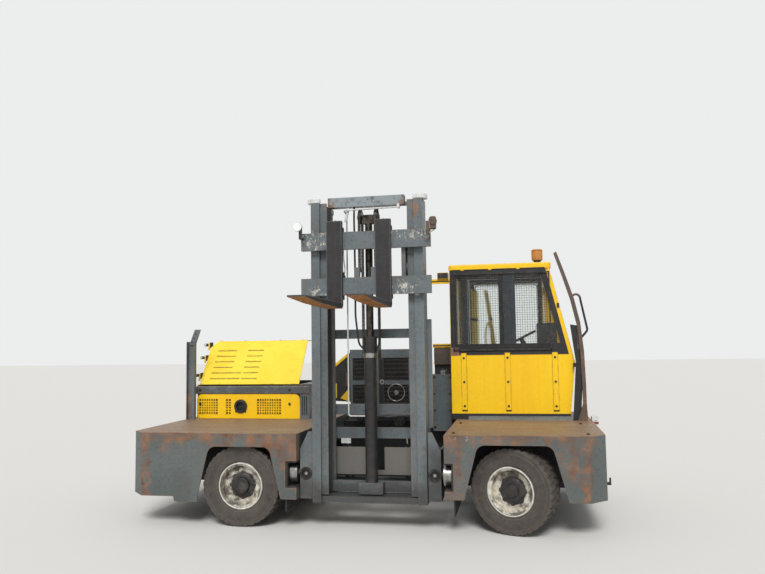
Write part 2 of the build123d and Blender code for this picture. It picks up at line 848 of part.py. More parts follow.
def window_frame():
    """Dark frame in the near window with its divider and the wire-mesh guard outside it."""
    y0 = cab_near_y - 4
    y1 = cab_near_y + cab_wall - 4
    frame = along_y(near_window(), y0, y1) + along_y(near_window(26), y0, cab_near_y - pad_gap)
    frame -= along_y(near_window(-24), y0 - 1, y1 + 1)
    for place in strip_places:
        x = cab_rear + place
        frame -= block(x - 1, x + strip_width + 1, y0 - 1, cab_near_y, sill - 30, sill - 3)
    divider_x = cab_rear + 548
    frame += block(divider_x, divider_x + 48, y0, y1, sill + 23, roof_bottom - window_margin - 23)
    guard_y = cab_near_y - 22
    sheet = along_y(near_window(-14), guard_y, guard_y + 5)
    columns, rows = 13, 9
    left, right = cab_rear + 58, cab_front_x(roof_bottom) - pillar_width - 40
    low, high = sill + 24, roof_bottom - 52
    pitch_x = (right - left) / columns
    pitch_z = (high - low) / rows
    holes = [
        block(
            left + pitch_x * column + 4,
            left + pitch_x * (column + 1) - 4,
            guard_y - 1,
            guard_y + 6,
            low + pitch_z * row + 4,
            low + pitch_z * (row + 1) - 4,
        )
        for column in range(columns)
        for row in range(rows)
    ]
    sheet -= group(holes)
    lugs = (
        (cab_rear + 60, sill + 14),
        (cab_rear + 60, roof_bottom - 45),
        (cab_head_x - 130, roof_bottom - 45),
        (cab_foot_x - 90, sill + 14),
    )
    for lug_x, lug_z in lugs:
        sheet += block(lug_x - 8, lug_x + 8, guard_y, y0 + 1, lug_z - 8, lug_z + 8)
    return frame + sheet


def cab_door():
    """Hinged door on the far side, with its window cut out, a handle and hinge knuckles."""
    y0 = cab_far_y - cab_wall + 4
    y1 = cab_far_y
    x0 = door_rear + door_gap
    x1 = door_front - door_gap
    z0 = door_bottom + door_gap
    z1 = roof_bottom - 30 - door_gap
    door = block(x0, x1, y0, y1, z0, z1)
    door -= block(x0 + 60, x1 - 60, y0 - 1, y1 + 1, sill - 150, z1 - 60)
    handle = block(x0 + 14, x0 + 34, y1 - 1, y1 + door_handle, 1300, 1316)
    handle += block(x0 + 14, x0 + 34, y1 - 1, y1 + door_handle, 1404, 1420)
    handle += block(x0 + 14, x0 + 34, y1 + door_handle - 12, y1 + door_handle, 1300, 1420)
    door += handle
    for z in hinge_heights:
        door += block(hinge_x - 40, hinge_x, y1 - 1, hinge_y - 3, z + 40.3, z + 80)
        door += rod((hinge_x, hinge_y, z + 40.3), (hinge_x, hinge_y, z + 80), 9)
        door -= rod((hinge_x, hinge_y, z + 40), (hinge_x, hinge_y, z + 90), hinge_pin + running_gap)
    return door


def door_glass():
    x0 = door_rear + door_gap + 60
    x1 = door_front - door_gap - 60
    y = cab_far_y - cab_wall / 2
    z1 = roof_bottom - 30 - door_gap - 60
    return block(x0, x1, y, y + glass, sill - 150, z1)


def seat():
    """Cushion, backrest and box; the driver sits facing the front."""
    x, y = 1170, (cab_near_y + cab_far_y) / 2
    box = block(x - 200, x + 200, y - seat_half + 50, y + seat_half - 50, cab_floor, 1060)
    cushion = block(x - 220, x + 230, y - seat_half, y + seat_half, 1060, 1170)
    cushion = fillet(cushion.edges(), 30)
    lean = [(x - 240, 1150), (x - 130, 1150), (x - 190, 1620), (x - 280, 1620)]
    back = along_y(lean, y - seat_half + 10, y + seat_half - 10)
    back = fillet(back.edges().filter_by(Axis.Y), 25)
    return box + cushion + back


def driver_console():
    """Dash with its instrument box, steering column with its wheel, and the lever box beside the seat."""
    mid = (cab_near_y + cab_far_y) / 2
    side = [(1700, cab_floor), (1900, cab_floor), (1940, 1400), (1760, 1560), (1700, 1480)]
    dash = along_y(side, mid - 300, mid + 300)
    dash += block(1665, 1870, mid - 170, mid + 170, 1600, 1841)
    dash += block(1740, 1800, mid - 60, mid + 60, 1500, 1601)
    column = rod((1720, mid, 1223), (1491, mid, 1681), 26)
    tilt = Plane(origin=(1491, mid, 1681), z_dir=(-120, 0, 240))
    ring = tilt * Torus(170, 13)
    spokes = tilt * Box(330, 26, 12) + tilt * Box(26, 330, 12)
    lever_y = cab_near_y + cab_wall + 3
    levers = block(1000, 1420, lever_y, lever_y + lever_box, cab_floor, 1400)
    return dash + column + ring + spokes + levers


def guard_bar():
    """Curved bar in front of the cab, its black side plate and the mirror loop."""
    y0, y1 = 1250, 1290
    # X and Z along the bar's outer edge, then back along its inner edge
    edge = [
        (1871, 2560),
        (1950, 2330),
        (2030, 2080),
        (2085, 1830),
        (2112, 1540),
        (2120, 1200),
        (2120, 1010),
        (2085, 1010),
        (2085, 1200),
        (2076, 1530),
        (2050, 1810),
        (1996, 2060),
        (1920, 2310),
        (1844, 2545),
    ]
    bar = along_y(edge, y0, y1)
    bar += along_y([(2085, 1012), (2120, 1012), (2128, deck_top), (2030, deck_top)], y0, y1)
    side_outline = [
        (1985, deck_top),
        (2060, deck_top),
        (2088, 1200),
        (2079, 1530),
        (2054, 1800),
        (1985, 1812),
        (2030, 1428),
    ]
    side = along_y(side_outline, y1 - 12, y1)
    y = y0 + 20
    loop_path = FilletPolyline((2010, y, 2098), (2080, y, 2140), (2155, y, 1750), (2085, y, 1668), radius=40)
    loop = sweep(Plane(origin=loop_path @ 0, z_dir=loop_path % 0) * Circle(11), path=loop_path)
    tie = block(2005, 2045, y1 - 12, cab_near_y, 1380, 1420)
    return bar + side + loop + tie


def beacon():
    """Amber lamp on its base."""
    x, y = 1690, 1700
    base = rod((x, y, cab_top), (x, y, cab_top + 55), 45)
    dome = rod((x, y, cab_top + 50), (x, y, cab_top + 182), 60)
    dome = fillet(dome.edges().group_by(Axis.Z)[-1], 20)
    return base + dome


def rear_lamp():
    """Yellow bar at the back of the cab roof with a black work lamp."""
    bar_top = roof_bottom - 59
    bar = block(cab_rear - 250, cab_rear - pad_gap, 1700, 1740, bar_top - 50, bar_top)
    bar += block(cab_rear - 14, cab_rear - pad_gap, 1700, 1740, bar_top - 50, roof_bottom)
    lamp = block(cab_rear - 166, cab_rear - 48, 1680, 1760, bar_top, bar_top + 71)
    return bar + lamp


def end_fittings():
    """Hooks and a small lamp on the front end of the platform."""
    x = front_end
    hook = block(x, x + 20, 380, 440, 380, 500)
    hook += block(x + 18, x + 60, 395, 425, 380, 402)
    hook += block(x + 46, x + 60, 395, 425, 380, 440)
    lamp = block(x, x + front_lamp, 1290, 1400, 806, 880)
    return group([hook, lamp])


# Reach frame
def reach_frame():
    """Cheeks with front wings, cross plates, roller axles and the mast's pivot pins."""
    outline = [
        (wing_front, 262),
        (frame_rear, 262),
        (frame_rear, 560),
        (400, 700),
        (wing_front + 40, 700),
        (wing_front + 12, wing_top),
        (wing_front, wing_top),
    ]
    parts = None
    for side in (-1, 1):
        x0 = across(side, cheek_half)
        x1 = across(side, cheek_half - cheek_thickness)
        cheek = along_x(outline, min(x0, x1), max(x0, x1))
        wing = [
            (across(side, cheek_half), 262),
            (across(side, cheek_half), 700),
            (across(side, outer_half + 45), wing_top),
            (across(side, outer_half + 8), wing_top),
            (across(side, outer_half + 8), 262),
        ]
        piece = cheek + along_y(wing, wing_front, wing_front + 16)
        hole_x = across(side, cheek_half - 56)
        piece -= rod((hole_x, wing_front - 5, roller_z), (hole_x, wing_front + 20, roller_z), 44)
        piece -= along_y(
            [
                (across(side, cheek_half), 700),
                (across(side, outer_half + 45), wing_top),
                (across(side, outer_half + 45), wing_top + 20),
                (across(side, cheek_half + 20), wing_top + 20),
                (across(side, cheek_half + 20), 700),
            ],
            wing_front - 5,
            frame_rear,
        )
        for row in roller_rows:
            stub = (across(side, cheek_half - 10), across(side, roller_outer - 12))
            piece += rod((stub[0], row, roller_z), (stub[1], row, roller_z), 30)
        pin_in = across(side, outer_half - outer_web - 2)
        piece += rod((across(side, cheek_half - 5), tilt_y, tilt_z), (pin_in, tilt_y, tilt_z), tilt_pin_radius)
        parts = piece if parts is None else parts + piece
    left = across(-1, cheek_half - 8)
    right = across(1, cheek_half - 8)
    cross = block(left, right, 409, 421, 428, 680)
    parts += cross - block(mast_x - 80, mast_x + 80, 400, 430, 470, 690)
    parts += block(left, right, frame_rear - 60, frame_rear, 262, 380)
    parts += rod((left, 470, 330), (right, 470, 330), 35)
    for side in (-1, 1):
        clevis_x = across(side, 290)
        for ear in (-40, 22):
            ear_x = clevis_x + ear
            parts += block(ear_x, ear_x + 18, tilt_base[0] - 26, tilt_base[0] + 26, 378, tilt_base[1])
            parts += rod((ear_x, *tilt_base), (ear_x + 18, *tilt_base), 26)
        parts += rod((clevis_x - 40, *tilt_base), (clevis_x + 40, *tilt_base), 16)
    return parts


def reach_rollers():
    """Four flanged rollers on the cheeks' stub axles."""
    rollers = []
    for side in (-1, 1):
        for row in roller_rows:
            start = (across(side, roller_inner), row, roller_z)
            end = (across(side, roller_outer), row, roller_z)
            roller = rod(start, end, roller_radius)
            roller -= rod(start, (across(side, roller_outer - 12), row, roller_z), 30)
            rollers.append(roller)
    return group(rollers)


def tilt_point(x, distance):
    """Point on a tilt cylinder's line, a distance from its base pin."""
    return (x, tilt_base[0] + tilt_dir[0] * distance, tilt_base[1] + tilt_dir[1] * distance)


def tilt_barrels():
    barrels = []
    for side in (-1, 1):
        x = across(side, 290)
        barrel = rod(tilt_point(x, 31), tilt_point(x, 250), 36)
        barrel += rod((x - 15, *tilt_base), (x + 15, *tilt_base), 34)
        barrel -= rod(tilt_point(x, 60), tilt_point(x, 260), 18 + running_gap)
        barrel -= rod((x - 20, *tilt_base), (x + 20, *tilt_base), 16 + running_gap)
        barrels.append(barrel)
    return group(barrels)


def tilt_rods():
    rods = []
    for side in (-1, 1):
        x = across(side, 290)
        piece = rod(tilt_point(x, 110), tilt_point(x, tilt_length - 20), 18)
        piece += rod((x - 15, *tilt_eye), (x + 15, *tilt_eye), 28)
        piece -= rod((x - 20, *tilt_eye), (x + 20, *tilt_eye), 16 + 3)
        rods.append(piece)
    return group(rods)


# Mast
def outer_mast():
    """Two channels joined by a foot beam and four bowed cross members, with a strip outside each."""
    mast = None
    for side in (-1, 1):
        section = [
            (across(side, outer_half), mast_front),
            (across(side, outer_half - outer_flange), mast_front),
            (across(side, outer_half - outer_flange), mast_front + flange),
            (across(side, outer_half - outer_web), mast_front + flange),
            (across(side, outer_half - outer_web), mast_back - flange),
            (across(side, outer_half - outer_flange), mast_back - flange),
            (across(side, outer_half - outer_flange), mast_back),
            (across(side, outer_half), mast_back),
        ]
        channel = along_z(section, mast_foot, mast_head)
        channel -= rod(
            (across(side, outer_half + 5), tilt_y, tilt_z),
            (across(side, outer_half - outer_web - 5), tilt_y, tilt_z),
            tilt_pin_radius + running_gap,
        )
        near_pad = mast_front + flange
        far_pad = mast_back - flange
        pad_in = outer_half - outer_flange + 4
        pad_out = outer_half - outer_web
        deep = slide_gap - pad_gap
        pad_x = sorted((across(side, pad_in), across(side, pad_out)))
        channel += block(*pad_x, near_pad - 1, near_pad + deep, mast_head - 130, mast_head - 20)
        channel += block(*pad_x, far_pad - deep, far_pad + 1, mast_head - 130, mast_head - 20)
        mast = channel if mast is None else mast + channel
    web_in = outer_half - outer_web
    web_ends = (across(-1, web_in + 2), across(1, web_in + 2))
    mast += block(*web_ends, mast_front + flange + 8, mast_back, mast_foot, inner_foot - 12)
    outside_ends = (across(-1, outer_half), across(1, outer_half))
    bow = lift_y + lift_barrel_radius + 6
    for z0, z1 in ((765, 865), (985, 1080), (1693, 1780), (mast_head - 380, mast_head - 260)):
        mast += block(*outside_ends, bow, bow + 16, z0, z1)
        for side in (-1, 1):
            leg_x = sorted((across(side, outer_half), across(side, outer_half - 40)))
            mast += block(*leg_x, mast_back - 1, bow + 2, z0, z1)
    for side in (-1, 1):
        foot_x = sorted((across(side, lift_half - 45), across(side, outer_half)))
        mast += block(*foot_x, mast_back - 1, lift_y + lift_barrel_radius, mast_foot, mast_foot + 50)
        clevis_x = across(side, 290)
        back = lift_y + lift_barrel_radius + 20
        for ear in (-40, 22):
            mast += block(clevis_x + ear, clevis_x + ear + 18, back, back + 76, 766, 834)
        mast += rod((clevis_x - 40, *tilt_eye), (clevis_x + 40, *tilt_eye), 16)
        strip_x = sorted((across(side, outer_half - 1), across(side, outer_half + 36)))
        mast += block(*strip_x, mast_back - 20, mast_back + 20, 880, 1860)
        cap = sorted((across(side, outer_half - outer_flange - 6), across(side, outer_half + cap_overhang)))
        top_cap = block(*cap, mast_front + 4, mast_front + 120, mast_head, mast_head + cap_thickness)
        round_end = top_cap.edges().filter_by(Axis.Z).group_by(Axis.X)[-1 if side > 0 else 0]
        top_cap = fillet(round_end, 50)
        way = sorted((across(side, inner_half - 20), across(side, outer_half - outer_web)))
        way_top = mast_head + cap_thickness + 5
        mast += top_cap - block(*way, mast_front + flange, mast_back, mast_head - 1, way_top)
    return mast


def lift_barrels():
    """Side lift cylinders' barrels, standing on the outer mast's feet."""
    barrels = []
    for side in (-1, 1):
        x = across(side, lift_half)
        top = mast_head - 700
        barrel = rod((x, lift_y, mast_foot + 50), (x, lift_y, top), lift_barrel_radius)
        barrel -= rod((x, lift_y, mast_foot + 90), (x, lift_y, top + 10), lift_rod_radius + running_gap)
        barrels.append(barrel)
    return group(barrels)


def inner_mast():
    """Two nested beams with a foot beam, a top beam and the side cylinders' rods."""
    front = mast_front + flange + slide_gap
    back = mast_back - flange - slide_gap
    outer_edge = outer_half - outer_web - slide_gap - 1
    mast = None
    for side in (-1, 1):
        web_a, web_b = outer_edge - 68, outer_edge - 52
        section = [
            (across(side, inner_half), front),
            (across(side, outer_edge), front),
            (across(side, outer_edge), front + inner_flange),
            (across(side, web_b), front + inner_flange),
            (across(side, web_b), back - inner_flange),
            (across(side, outer_edge), back - inner_flange),
            (across(side, outer_edge), back),
            (across(side, inner_half), back),
            (across(side, inner_half), back - inner_flange),
            (across(side, web_a), back - inner_flange),
            (across(side, web_a), front + inner_flange),
            (across(side, inner_half), front + inner_flange),
        ]
        beam = along_z(section, inner_foot, mast_head - 5)
        pad_x = sorted((across(side, outer_edge - 40), across(side, outer_edge)))
        deep = slide_gap - pad_gap
        beam += block(*pad_x, front - deep, front + 1, inner_foot + 10, inner_foot + 100)
        beam += block(*pad_x, back - 1, back + deep, inner_foot + 10, inner_foot + 100)
        bracket_x = sorted((across(side, inner_half), across(side, lift_half + lift_rod_radius)))
        beam += block(*bracket_x, back - 1, lift_y + lift_rod_radius, beam_low - 33, beam_low + 12)
        x = across(side, lift_half)
        beam += rod((x, lift_y, mast_foot + 110), (x, lift_y, beam_low - 28), lift_rod_radius)
        mast = beam if mast is None else mast + beam
    web_in = outer_edge - 68
    foot_ends = (across(-1, web_in + 1), across(1, web_in + 1))
    mast += block(*foot_ends, back - inner_flange, back, inner_foot, ram_foot)
    mast += block(mast_x - 110, mast_x + 110, ram_y - ram_radius, back - 1, inner_foot, ram_foot)
    beam_end = across(1, inner_half - 34)
    mast += block(across(-1, inner_half + 1), beam_end, 150, 240, beam_low, beam_high)
    mast += block(beam_end - 20, across(1, inner_half + 1), 214, 240, beam_low, beam_low + 36)
    return mast


def free_lift_barrel():
    """Central cylinder on the inner mast's foot, with a bright collar and a head."""
    collar_top = ram_collar + 55
    barrel = rod((mast_x, ram_y, ram_foot), (mast_x, ram_y, ram_collar), ram_radius)
    barrel += rod((mast_x, ram_y, ram_collar), (mast_x, ram_y, collar_top), ram_radius + 4)
    barrel += rod((mast_x, ram_y, collar_top), (mast_x, ram_y, ram_head), ram_radius + 8)
    bore = ram_rod_radius + running_gap
    barrel -= rod((mast_x, ram_y, ram_foot + 60), (mast_x, ram_y, ram_head + 10), bore)
    return barrel


def lift_crosshead():
    """Rod of the central cylinder with a crosshead that carries two sheaves."""
    rod_foot = ram_foot + 60 + free_lift / 2 + 10
    head = rod((mast_x, ram_y, rod_foot), (mast_x, ram_y, crosshead_z + 5), ram_rod_radius)
    head += block(mast_x - 50, mast_x + 50, ram_y - 34, ram_y + 34, crosshead_z, crosshead_z + 55)
    axle_height = crosshead_z + 62
    head += block(mast_x - 44, mast_x + 44, ram_y - 24, ram_y + 24, crosshead_z + 50, axle_height + 22)
    axle_half = sheave_half + 24
    head += rod((mast_x - axle_half, ram_y, axle_height), (mast_x + axle_half, ram_y, axle_height), 16)
    for side in (-1, 1):
        x = mast_x + side * sheave_half
        sheave = rod((x - 17, ram_y, axle_height), (x + 17, ram_y, axle_height), sheave_radius)
        head += sheave
    return head


def lift_chains():
    """Leaf chains over the sheaves: short run to the carriage, long run down behind the cylinder."""
    axle_height = crosshead_z + 62
    chains = []
    inside = sheave_radius + pad_gap
    outside = inside + chain_thickness
    for side in (-1, 1):
        x0 = mast_x + side * sheave_half - chain_width / 2
        x1 = x0 + chain_width
        ring = rod((x0, ram_y, axle_height), (x1, ram_y, axle_height), outside)
        ring -= rod((x0 - 1, ram_y, axle_height), (x1 + 1, ram_y, axle_height), inside)
        ring -= block(x0 - 1, x1 + 1, ram_y - 100, ram_y + 100, axle_height - 100, axle_height)
        front = block(x0, x1, ram_y - outside, ram_y - inside, 2320, axle_height)
        back = block(x0, x1, ram_y + inside, ram_y + outside, 1500, axle_height)
        chains.append(ring + front + back)
    return group(chains)


def mast_pipes():
    """Steel pipe from the top beam down to the central cylinder's foot."""
    front = mast_front + flange + slide_gap + inner_flange
    back = ram_y + 28
    path = FilletPolyline(
        (mast_x + 300, front, beam_low - 30),
        (mast_x - 215, front, beam_low - 40),
        (mast_x - 215, back, beam_low - 60),
        (mast_x - 215, back, 985),
        (mast_x - 30, back, 985),
        radius=24,
    )
    pipe = sweep(Plane(origin=path @ 0, z_dir=path % 0) * Circle(7), path=path)
    pipe += block(mast_x + 284, mast_x + 306, front - 10, 152, beam_low - 38, beam_low)
    return pipe - rod((mast_x, ram_y, 900), (mast_x, ram_y, 1100), ram_radius)


# Fork carriage
def fork_carriage():
    """Two fork bars on a pair of side plates, with rollers that run in the inner mast."""
    back = bar_front + bar_thickness
    carriage = None
    front = mast_front + flange + slide_gap + inner_flange
    rear = mast_back - flange - slide_gap - inner_flange
    roller = (rear - front) / 2 - pad_gap
    for z0, z1 in (upper_bar, lower_bar):
        bar = block(across(-1, bar_half), across(1, bar_half), bar_front, back, z0, z1)
        carriage = bar if carriage is None else carriage + bar
    for side in (-1, 1):
        plate_x = sorted((across(side, inner_half - 50), across(side, inner_half - 14)))
        carriage += along_x(
            [(back - 1, 2170), (84, 2170), (94, 2250), (rear - 20, 2250), (rear - 20, 2620), (back - 1, 2620)],
            *plate_x,
        )
        for z in (2324, 2550):
            carriage += rod(
                (across(side, inner_half - 20), (front + rear) / 2, z),
                (across(side, inner_half + 36), (front + rear) / 2, z),
                roller,
            )
    anchor_y = ram_y - sheave_radius - chain_thickness - pad_gap
    anchor_top = lower_bar[1] + 89
    for side in (-1, 1):
        x = mast_x + side * sheave_half
        carriage += block(x - 22, x + 22, bar_front + 8, back, lower_bar[1] - 1, anchor_top)
        carriage += block(x - 22, x + 22, back - 1, anchor_y - pad_gap, anchor_top - 34, anchor_top)
    return carriage


def fork(x_mid):
    """Fork with a tapered blade, a shank and hooks over both bars."""
    face = fork_face
    back = bar_front
    outline = [
        (face, fork_heel_z + fork_thickness),
        (fork_tip_y, fork_heel_z + fork_thickness),
        (fork_tip_y, fork_heel_z + fork_thickness - fork_tip),
        (fork_tip_y + 420, fork_heel_z + 12),
        (face - 120, fork_heel_z),
        (face + 18, fork_heel_z),
        (back, fork_heel_z + 32),
        (back, fork_head_z),
        (face, fork_head_z),
    ]
    piece = along_x(outline, x_mid - fork_width / 2, x_mid + fork_width / 2)
    bar_back = bar_front + bar_thickness
    top = upper_bar[1]
    low = lower_bar[0]
    piece += along_x(
        [
            (back - 1, top + 0.3),
            (bar_back + 0.3, top + 0.3),
            (bar_back + 0.3, top - 26),
            (bar_back + 6, top - 26),
            (bar_back + 6, top + 44),
            (back - 1, top + 44),
        ],
        x_mid - fork_width / 2,
        x_mid + fork_width / 2,
    )
    piece += along_x(
        [
            (back - 1, low - 0.3),
            (bar_back + 0.3, low - 0.3),
            (bar_back + 0.3, low + 26),
            (bar_back + 6, low + 26),
            (bar_back + 6, low - 40),
            (back - 1, low - 40),
        ],
        x_mid - fork_width / 2,
        x_mid + fork_width / 2,
    )
    return piece


def work_lamps():
    """A round lamp on an arm at each end of the upper bar, narrow enough to pass through the well."""
    lamp_back = bar_front - 58
    lamps = []
    # Side, distance of the lamp from the bar's end, radius
    for side, beyond, radius in ((-1, 2, 44), (1, 36, 36)):
        end_x = across(side, bar_half)
        lamp_x = across(side, bar_half + beyond)
        z = upper_bar[1] + 48
        inside = end_x - side * 30
        arm = block(*sorted((inside, end_x)), lamp_back, bar_front, upper_bar[1] - 60, upper_bar[1] - 46)
        arm += block(*sorted((inside, end_x)), lamp_back - 12, lamp_back, upper_bar[1] - 60, z + 8)
        arm += block(*sorted((inside, lamp_x)), lamp_back - 12, lamp_back, z - 8, z + 8)
        arm += rod((lamp_x, lamp_back, z), (lamp_x, lamp_back - 50, z), radius)
        lamps.append(arm)
    return group(lamps)


corners = ("rear_near", "rear_far", "front_near", "front_far")

nodes = {
    "chassis_frame": chassis_frame,
    "rear_deck": rear_deck,
    "front_deck": front_deck,
    "mast_rails": mast_rails,
    "kick_plate": kick_plate,
    "fuel_tank": fuel_tank,
    "drive_axle": drive_axle,
    "steer_axle": steer_axle,
    "knuckle_near": lambda: knuckle(near_kingpin_y, -1),
    "knuckle_far": lambda: knuckle(far_kingpin_y, 1),
    "tie_rod": tie_rod,
    "engine": engine,
    "grille_panel": grille_panel,
    "exhaust_outlet": exhaust_outlet,
    "engine_bay": engine_bay,
    "hood_rail": hood_rail,
    "engine_hood": engine_hood,
    "rear_post": rear_post,
    "cooler": cooler,
    "hydraulic_tank": hydraulic_tank,
    "cab_base": cab_base,
    "cab_near_wall": cab_near_wall,
    "cab_far_wall": cab_far_wall,
    "cab_rear_wall": cab_rear_wall,
    "cab_front_wall": cab_front_wall,
    "cab_roof": cab_roof,
    "cab_glass": cab_glass,
    "window_frame": window_frame,
    "cab_door": cab_door,
    "door_glass": door_glass,
    "seat": seat,
    "driver_console": driver_console,
    "guard_bar": guard_bar,
    "beacon": beacon,
    "rear_lamp": rear_lamp,
    "end_fittings": end_fittings,
    "reach_frame": reach_frame,
    "reach_rollers": reach_rollers,
    "tilt_barrels": tilt_barrels,
    "tilt_rods": tilt_rods,
    "outer_mast": outer_mast,
    "lift_barrels": lift_barrels,
    "inner_mast": inner_mast,
    "free_lift_barrel": free_lift_barrel,
    "lift_crosshead": lift_crosshead,
    "lift_chains": lift_chains,
    "mast_pipes": mast_pipes,
    "fork_carriage": fork_carriage,
    "fork_rear": lambda: fork(rear_fork_x),
    "fork_front": lambda: fork(front_fork_x),
    "work_lamps": work_lamps,
}
for corner in corners:
    nodes["tyre_" + corner] = lambda corner=corner: tyre(corner)
    nodes["rim_" + corner] = lambda corner=corner: rim(corner)

os.makedirs("parts", exist_ok=True)
for name, build in nodes.items():
    placed = Pos(-origin_x, -origin_y, 0) * build()
    export_step(placed, f"parts/{name}.step")
print(f"{len(nodes)} nodes")
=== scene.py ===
"""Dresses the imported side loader: finishes, small parts, floor, light and camera."""

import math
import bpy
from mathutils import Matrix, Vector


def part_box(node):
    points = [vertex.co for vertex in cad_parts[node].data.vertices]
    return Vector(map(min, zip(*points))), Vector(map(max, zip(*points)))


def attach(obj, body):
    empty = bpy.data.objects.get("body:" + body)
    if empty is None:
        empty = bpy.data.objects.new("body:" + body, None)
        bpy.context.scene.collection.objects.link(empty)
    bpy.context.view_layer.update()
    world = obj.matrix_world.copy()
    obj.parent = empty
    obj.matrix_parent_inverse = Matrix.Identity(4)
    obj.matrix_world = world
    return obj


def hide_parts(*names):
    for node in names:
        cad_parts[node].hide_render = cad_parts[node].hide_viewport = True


bl_info = {
    "name": "Side Loader Dressing",
    "version": (1, 0, 0),
    "blender": (4, 5, 0),
    "location": "View3D > Sidebar > Side Loader",
    "description": "Finishes and small parts for a side loader forklift, on its packed solids",
    "category": "Object",
}

import bmesh
import bpy
from mathutils import Matrix, Vector

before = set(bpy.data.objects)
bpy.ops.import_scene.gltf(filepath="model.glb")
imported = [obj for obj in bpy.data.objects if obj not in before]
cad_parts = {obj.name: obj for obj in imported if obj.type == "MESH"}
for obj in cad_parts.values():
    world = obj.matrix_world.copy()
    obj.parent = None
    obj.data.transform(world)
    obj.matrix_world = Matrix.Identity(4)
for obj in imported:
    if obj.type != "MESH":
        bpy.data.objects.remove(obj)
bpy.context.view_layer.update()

# In millimetres on the truck: what the frame's origin stands for, the mast's middle, and the sheaves' axle
# with half the distance between the sheaves and the radius at which the chains run; then the platforms' top
MIDDLE = Vector((31, 561, 0))
MAST_X = 132
SHEAVE_Y, SHEAVE_Z, SHEAVE_APART, CHAIN_RADIUS = 200, 2814, 75, 67.3
DECK_TOP = 844
TO_METRES = Matrix.Scale(0.001, 4) @ Matrix.Translation(-MIDDLE)
X_AXIS, Y_AXIS, Z_AXIS = (1, 0, 0), (0, 1, 0), (0, 0, 1)

BLACK, RUBBER, PLASTIC, WHITE = "black paint", "black rubber", "moulded plastic", "white paint and highlights"
STEEL, CHAIN, SASH = "ground steel", "oiled chain steel", "sash enamel"
CAB, HOOD, MAST, GUARD, DECK = "cab enamel and shade", "hood enamel", "mast paint", "guard paint", "deck paint"


# Places and sizes

def metres(point):
    """A place on the truck in millimetres, turned to the scene's metres."""
    return (Vector(point) - MIDDLE) / 1000


def limits(node):
    """Lowest and highest corner of a solid, in millimetres on the truck."""
    low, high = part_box(node)
    return low * 1000 + MIDDLE, high * 1000 + MIDDLE


def linear(code):
    """Linear colour of a hex value as a screen shows it."""
    shares = [int(code[at:at + 2], 16) / 255 for at in (1, 3, 5)]
    return tuple(((v + 0.055) / 1.055) ** 2.4 if v > 0.04045 else v / 12.92 for v in shares) + (1,)


def plug(tree, node, inputs):
    """Links each named input to a node or a socket, or sets its value."""
    for socket, value in inputs.items():
        if isinstance(value, bpy.types.Node):
            value = value.outputs[0]
        if isinstance(value, bpy.types.NodeSocket):
            tree.links.new(value, node.inputs[socket])
        else:
            node.inputs[socket].default_value = value


def add(tree, kind, inputs=None, **settings):
    """Adds one node with its settings, input values and links, and returns it."""
    made = tree.nodes.new(kind)
    for name, value in settings.items():
        setattr(made, name, value)
    plug(tree, made, inputs or {})
    return made


